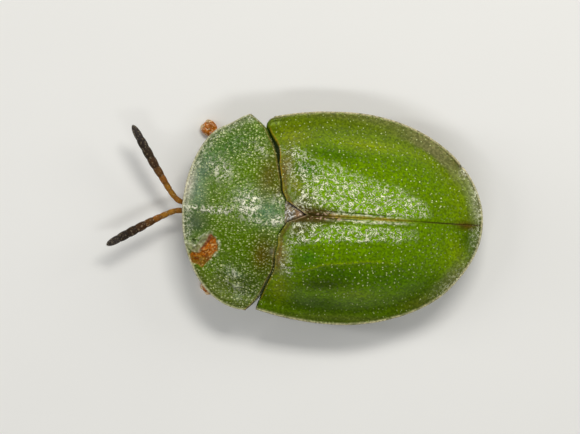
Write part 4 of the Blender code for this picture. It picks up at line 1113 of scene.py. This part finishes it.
def feelerHairs(name, path, radius, seed):
    # slim pointed hairs that lean towards the tip, most of them on the club
    draw = np.random.default_rng(seed)
    hairs, rings = feeler["hairs"], np.arange(len(path))
    spot = np.sort(0.30 + 0.70 * draw.random(hairs) ** 0.75)
    turn = draw.uniform(0.0, 2 * np.pi, hairs)
    at = spot * rings[-1]
    ahead = unit(between(at, rings, np.gradient(path, axis=0)))
    sideways = unit(np.cross(ahead, [0.0, 0.0, 1.0]))
    out = np.cos(turn)[:, None] * sideways + np.sin(turn)[:, None] * np.cross(sideways, ahead)
    root = between(at, rings, path) + out * np.interp(at, rings, radius)[:, None] * 0.96
    length = feeler["hairLength"] * draw.uniform(0.6, 1.2, hairs)
    lean = unit(ahead + out * draw.uniform(0.35, 0.8, hairs)[:, None])
    angles = np.radians([90.0, 210.0, 330.0])[None, :, None]
    ring = np.cos(angles) * np.cross(ahead, out)[:, None] + np.sin(angles) * ahead[:, None]
    foot, tip = root[:, None] + feeler["hairRadius"] * ring, root + lean * length[:, None]
    corners = np.concatenate([foot, tip[:, None]], axis=1)
    faces = 4 * np.arange(hairs)[:, None, None] + np.array([[0, 1, 3], [1, 2, 3], [2, 0, 3], [0, 2, 1]])
    # hairs paler towards the club's tip: painted highlight
    tone = draw.uniform(0.3, 1.1, hairs) * (0.30 + 0.85 * smoothStep(0.80, 1.0, spot))
    made = addPiece(name + "Hairs", {
        "points": corners.reshape(-1, 3), "quads": np.zeros((0, 4), int), "triangles": faces.reshape(-1, 3),
        "tint": np.repeat(colour(feeler["hairTint"]) * tone[:, None], 4, axis=0)}, "paleHair")
    patch = made.data.uv_layers.new(name="OFBake")
    corner = np.zeros(len(made.data.loops), np.int32)
    made.data.loops.foreach_get("vertex_index", corner)
    offset = np.array([(0.0, 0.0), (0.003, 0.0), (0.0015, 0.0015), (0.0015, 0.003)])
    flat = np.stack([spot, turn / (2 * np.pi)], axis=1)[corner // 4] * 0.99 + offset[corner % 4]
    patch.data.foreach_set("uv", flat.astype(np.float32).ravel())


def feelerPiece(side, seed):
    lengths = np.array(feeler["lengths"]) / np.sum(feeler["lengths"])
    count, last = len(lengths) * feeler["rings"], len(lengths) - 1
    path = curvedRoute(feeler["routes"][side], count)
    share = np.linspace(0.0, 1.0, count)
    ends = np.cumsum(lengths)
    joint = np.minimum(np.searchsorted(ends, share, side="left"), last)
    inside = (share - (ends[joint] - lengths[joint])) / lengths[joint]
    radii = np.array(feeler["radii"])
    after = np.append(radii[1:], radii[-1] * 0.5)
    radius = radii[joint] + (after - radii)[joint] * 0.35 * inside
    waist = np.sin(np.pi * np.where(joint == last, np.minimum(inside, 0.5), np.clip(inside, 0, 1))) ** 0.45
    tip = np.where(joint == last, np.sqrt(np.clip(1.0 - inside ** 3.2, 0.0004, 1.0)), 1.0)
    radius = radius * (0.80 + 0.20 * waist) * tip
    tones = np.array([colour(code) for code in feeler["colours"]])[joint]
    tones = tones * (0.55 + 0.45 * np.sin(np.pi * np.clip(inside, 0.02, 0.98)) ** 0.4)[:, None]
    name = "feeler" + side.capitalize()
    addPiece(name, tube(path, radius, tones, feeler["sides"]), "feelerHorn", ["antenna_" + side])
    feelerHairs(name, path, radius, seed)


feelerPiece("right", 5)
feelerPiece("left", 6)


# Legs: hip, knee, ankle and toe of each

legs = {
    "points": {
        "front_right": [(-2.00, 0.30, 0.45), (-2.12, 1.42, 0.47), (-2.72, 1.58, 0.24), (-3.27, 2.07, 0.10)],
        "front_left": [(-2.00, -0.30, 0.45), (-2.06, -1.40, 0.47), (-2.52, -1.50, 0.24), (-3.02, -2.00, 0.10)],
        "middle_right": [(-0.98, 0.36, 0.45), (-1.36, 1.44, 0.47), (-0.78, 1.72, 0.24), (-0.44, 2.30, 0.10)],
        "middle_left": [(-0.98, -0.36, 0.45), (-1.32, -1.44, 0.47), (-0.80, -1.74, 0.24), (-0.50, -2.32, 0.10)],
        "hind_right": [(-0.22, 0.42, 0.45), (0.42, 1.42, 0.47), (1.18, 1.64, 0.24), (1.84, 1.86, 0.10)],
        "hind_left": [(-0.22, -0.42, 0.45), (0.46, -1.42, 0.47), (1.22, -1.62, 0.24), (1.88, -1.82, 0.10)],
    },
    "hipRadius": 0.18,                            # and the radii of thigh and shank, from end to end
    "femur": [0.085, 0.15, 0.175, 0.165, 0.13, 0.085],
    "tibia": [0.070, 0.085, 0.095, 0.105, 0.120, 0.115],
    "pads": [                     # share of the foot, sideways, half length, width and height, and lift
        (0.14, 0.0, 0.17, 0.085, 0.085, 0.18), (0.36, 0.0, 0.16, 0.11, 0.11, 0.13),
        (0.56, 0.0, 0.14, 0.14, 0.11, 0.11), (0.80, 0.085, 0.18, 0.105, 0.11, 0.09),
        (0.80, -0.085, 0.18, 0.105, 0.11, 0.09),
    ],
    "dark": "#2A180C", "amber": "#A8671C", "shin": "#B5741F",
    "pad": "#C27012", "toe": "#EAD2A0", "claw": "#5A2C10",
}


def legPiece(key):
    hip, knee, ankle, toe = (np.array(knot) for knot in legs["points"][key])
    tints = (colour(legs[word]) for word in ("dark", "amber", "shin", "pad", "toe", "claw"))
    dark, amber, shin, pad, pale, claw = tints
    up = np.array([0.0, 0.0, 1.0])
    flat = (toe - ankle) * (1, 1, 0)
    length = np.linalg.norm(flat)
    ahead, across = flat / length, np.cross(up, flat) / length
    ground = ankle * (1, 1, 0)
    share, knots = np.linspace(0.0, 1.0, 36), np.linspace(0.0, 1.0, 6)
    rounded = np.sqrt(np.clip(1.0 - np.abs(2 * share - 1) ** 9, 0.001, 1.0))
    thigh, shank = knee - hip, ankle - knee
    femurPath = hip + thigh * (0.10 + 0.90 * share)[:, None]
    tibiaPath = knee + shank * (0.02 + 0.96 * share)[:, None] - 0.03 * up * bell(share - 0.5, 0.3)[:, None]
    femurTint = blend(dark, amber, smoothStep(0.15, 0.60, share))
    parts = [ball(hip + 0.14 * up, (legs["hipRadius"],) * 3, dark, 18, 24, (0, 1, 0)),
             ball(hip + thigh * 0.06, (0.12, 0.095, 0.095), dark, 14, 20, thigh),
             tube(femurPath, np.interp(share, knots, legs["femur"]) * rounded, femurTint, 28, 0.85),
             tube(tibiaPath, np.interp(share, knots, legs["tibia"]) * rounded, shin, 24, 0.85)]
    for spot, sideways, long, wide, high, lift in legs["pads"]:
        centre = ground + ahead * length * spot + across * sideways + lift * up
        made = ball(centre, (long, wide, high), pad, 18, 24, ahead)
        reach = (made["points"] - ground) @ ahead / length
        made["tint"] = blend(made["tint"], pale, 0.85 * smoothStep(0.88, 1.02, reach))
        parts.append(made)

    start, end = ground + ahead * length * 0.66 + 0.17 * up, ground + ahead * length * 0.99 + 0.15 * up
    last = np.linspace(0.0, 1.0, 14)
    parts.append(tube(start + (end - start) * last[:, None] + 0.03 * up * np.sin(np.pi * last)[:, None],
                      0.035 + 0.035 * last ** 1.5 - 0.05 * np.clip(last - 0.9, 0, 1), pad, 16, 0.9))
    bend = np.linspace(0.0, 1.0, 12)
    for side in (-1, 1):
        tip = toe + across * side * 0.09 - 0.07 * up
        bow = (across * side * 0.03 + 0.035 * up) * np.sin(np.pi * bend)[:, None]
        hook = end - ahead * 0.03 + (tip - end) * bend[:, None] + bow
        parts.append(tube(hook, 0.030 * (1.04 - bend), claw, 10))
    made = joined(parts)
    made["points"][:, 2] = np.maximum(made["points"][:, 2], 0.0)
    name = "leg" + "".join(word.capitalize() for word in key.split("_"))
    addPiece(name, made, "legHorn", [bone + key for bone in ("femur_", "tibia_", "tarsus_")])


for key in legs["points"]:
    legPiece(key)


# Floor, lights and camera

studio = {
    "floor": "#F0EFEB", "floorHalf": 400.0, "world": 0.14, "lookAt": 1.5, "film": 36.0,
    "viewCentre": (-1.041, -0.078), "viewWidth": 14.08, "viewTurn": 3.62, "rimPlane": 1.0, "distance": 120.0,
    "lights": {                                   # place in mm, length and width in mm, power in watts, colour
        "key": ((8.0, 36.0, 55.0), (34.0, 14.0), 0.0227, (1.0, 0.985, 0.95)),
        "rear": ((46.8, 24.9, 28.2), (30.0, 20.0), 0.0060, (1.0, 0.99, 0.97)),
        "fill": ((4.0, -28.0, 56.0), (52.0, 8.0), 0.0090, (0.97, 0.99, 1.0)),
        "front": ((-51.0, 4.0, 32.0), (7.0, 46.0), 0.0084, (1.0, 1.0, 1.0)),
    },
}


def studioSet():
    scene = bpy.context.scene
    mesh = bpy.data.meshes.new("floor")
    half = studio["floorHalf"] * mm
    corners = [(-half, -half, 0), (half, -half, 0), (half, half, 0), (-half, half, 0)]
    mesh.from_pydata(corners, [], [(0, 1, 2, 3)])
    tree, shader, point = newMaterial("paleFloor")
    base = colour(studio["floor"])
    share = spread(tree, noise(tree, point, 0.4, 3.0)[0], 0.0, 0.25)
    tree.links.new(mixColour(tree, share, (*base, 1.0), (*(base * 0.93), 1.0)), shader.inputs["Base Color"])
    shader.inputs["Roughness"].default_value = 0.8
    mesh.materials.append(bpy.data.materials["paleFloor"])
    floor = bpy.data.objects.new("floor", mesh)
    scene.collection.objects.link(floor)

    world = bpy.data.worlds.new("studio")
    world.use_nodes = True
    background = world.node_tree.nodes["Background"]
    background.inputs["Color"].default_value = (1.0, 1.0, 1.0, 1.0)
    background.inputs["Strength"].default_value = studio["world"]
    scene.world = world

    for name, (spot, size, power, tone) in studio["lights"].items():
        lamp = bpy.data.lights.new(name, "AREA")
        lamp.shape, lamp.energy, lamp.color = "RECTANGLE", power, tone
        lamp.size, lamp.size_y = size[0] * mm, size[1] * mm
        light = bpy.data.objects.new(name, lamp)
        at = np.array(spot) + (shiftX, 0.0, 0.0)
        light.location = at * mm
        aim = np.array([shiftX, 0.0, studio["lookAt"]]) - at
        light.rotation_euler = (np.arctan2(np.hypot(aim[0], aim[1]), -aim[2]), 0.0, np.arctan2(-aim[0], aim[1]))
        scene.collection.objects.link(light)

    lens = bpy.data.cameras.new("camera")
    lens.sensor_width = studio["film"]
    lens.lens = studio["distance"] * studio["film"] / studio["viewWidth"]
    lens.clip_start, lens.clip_end = 0.002, 5.0
    camera = bpy.data.objects.new("camera", lens)
    centreX, centreY = studio["viewCentre"]
    camera.location = ((centreX + shiftX) * mm, centreY * mm, (studio["rimPlane"] + studio["distance"]) * mm)
    camera.rotation_euler = (0.0, 0.0, np.radians(studio["viewTurn"]))
    scene.collection.objects.link(camera)
    scene.camera = camera
    scene.view_settings.view_transform = "Standard"
    print("studio ready")


studioSet()
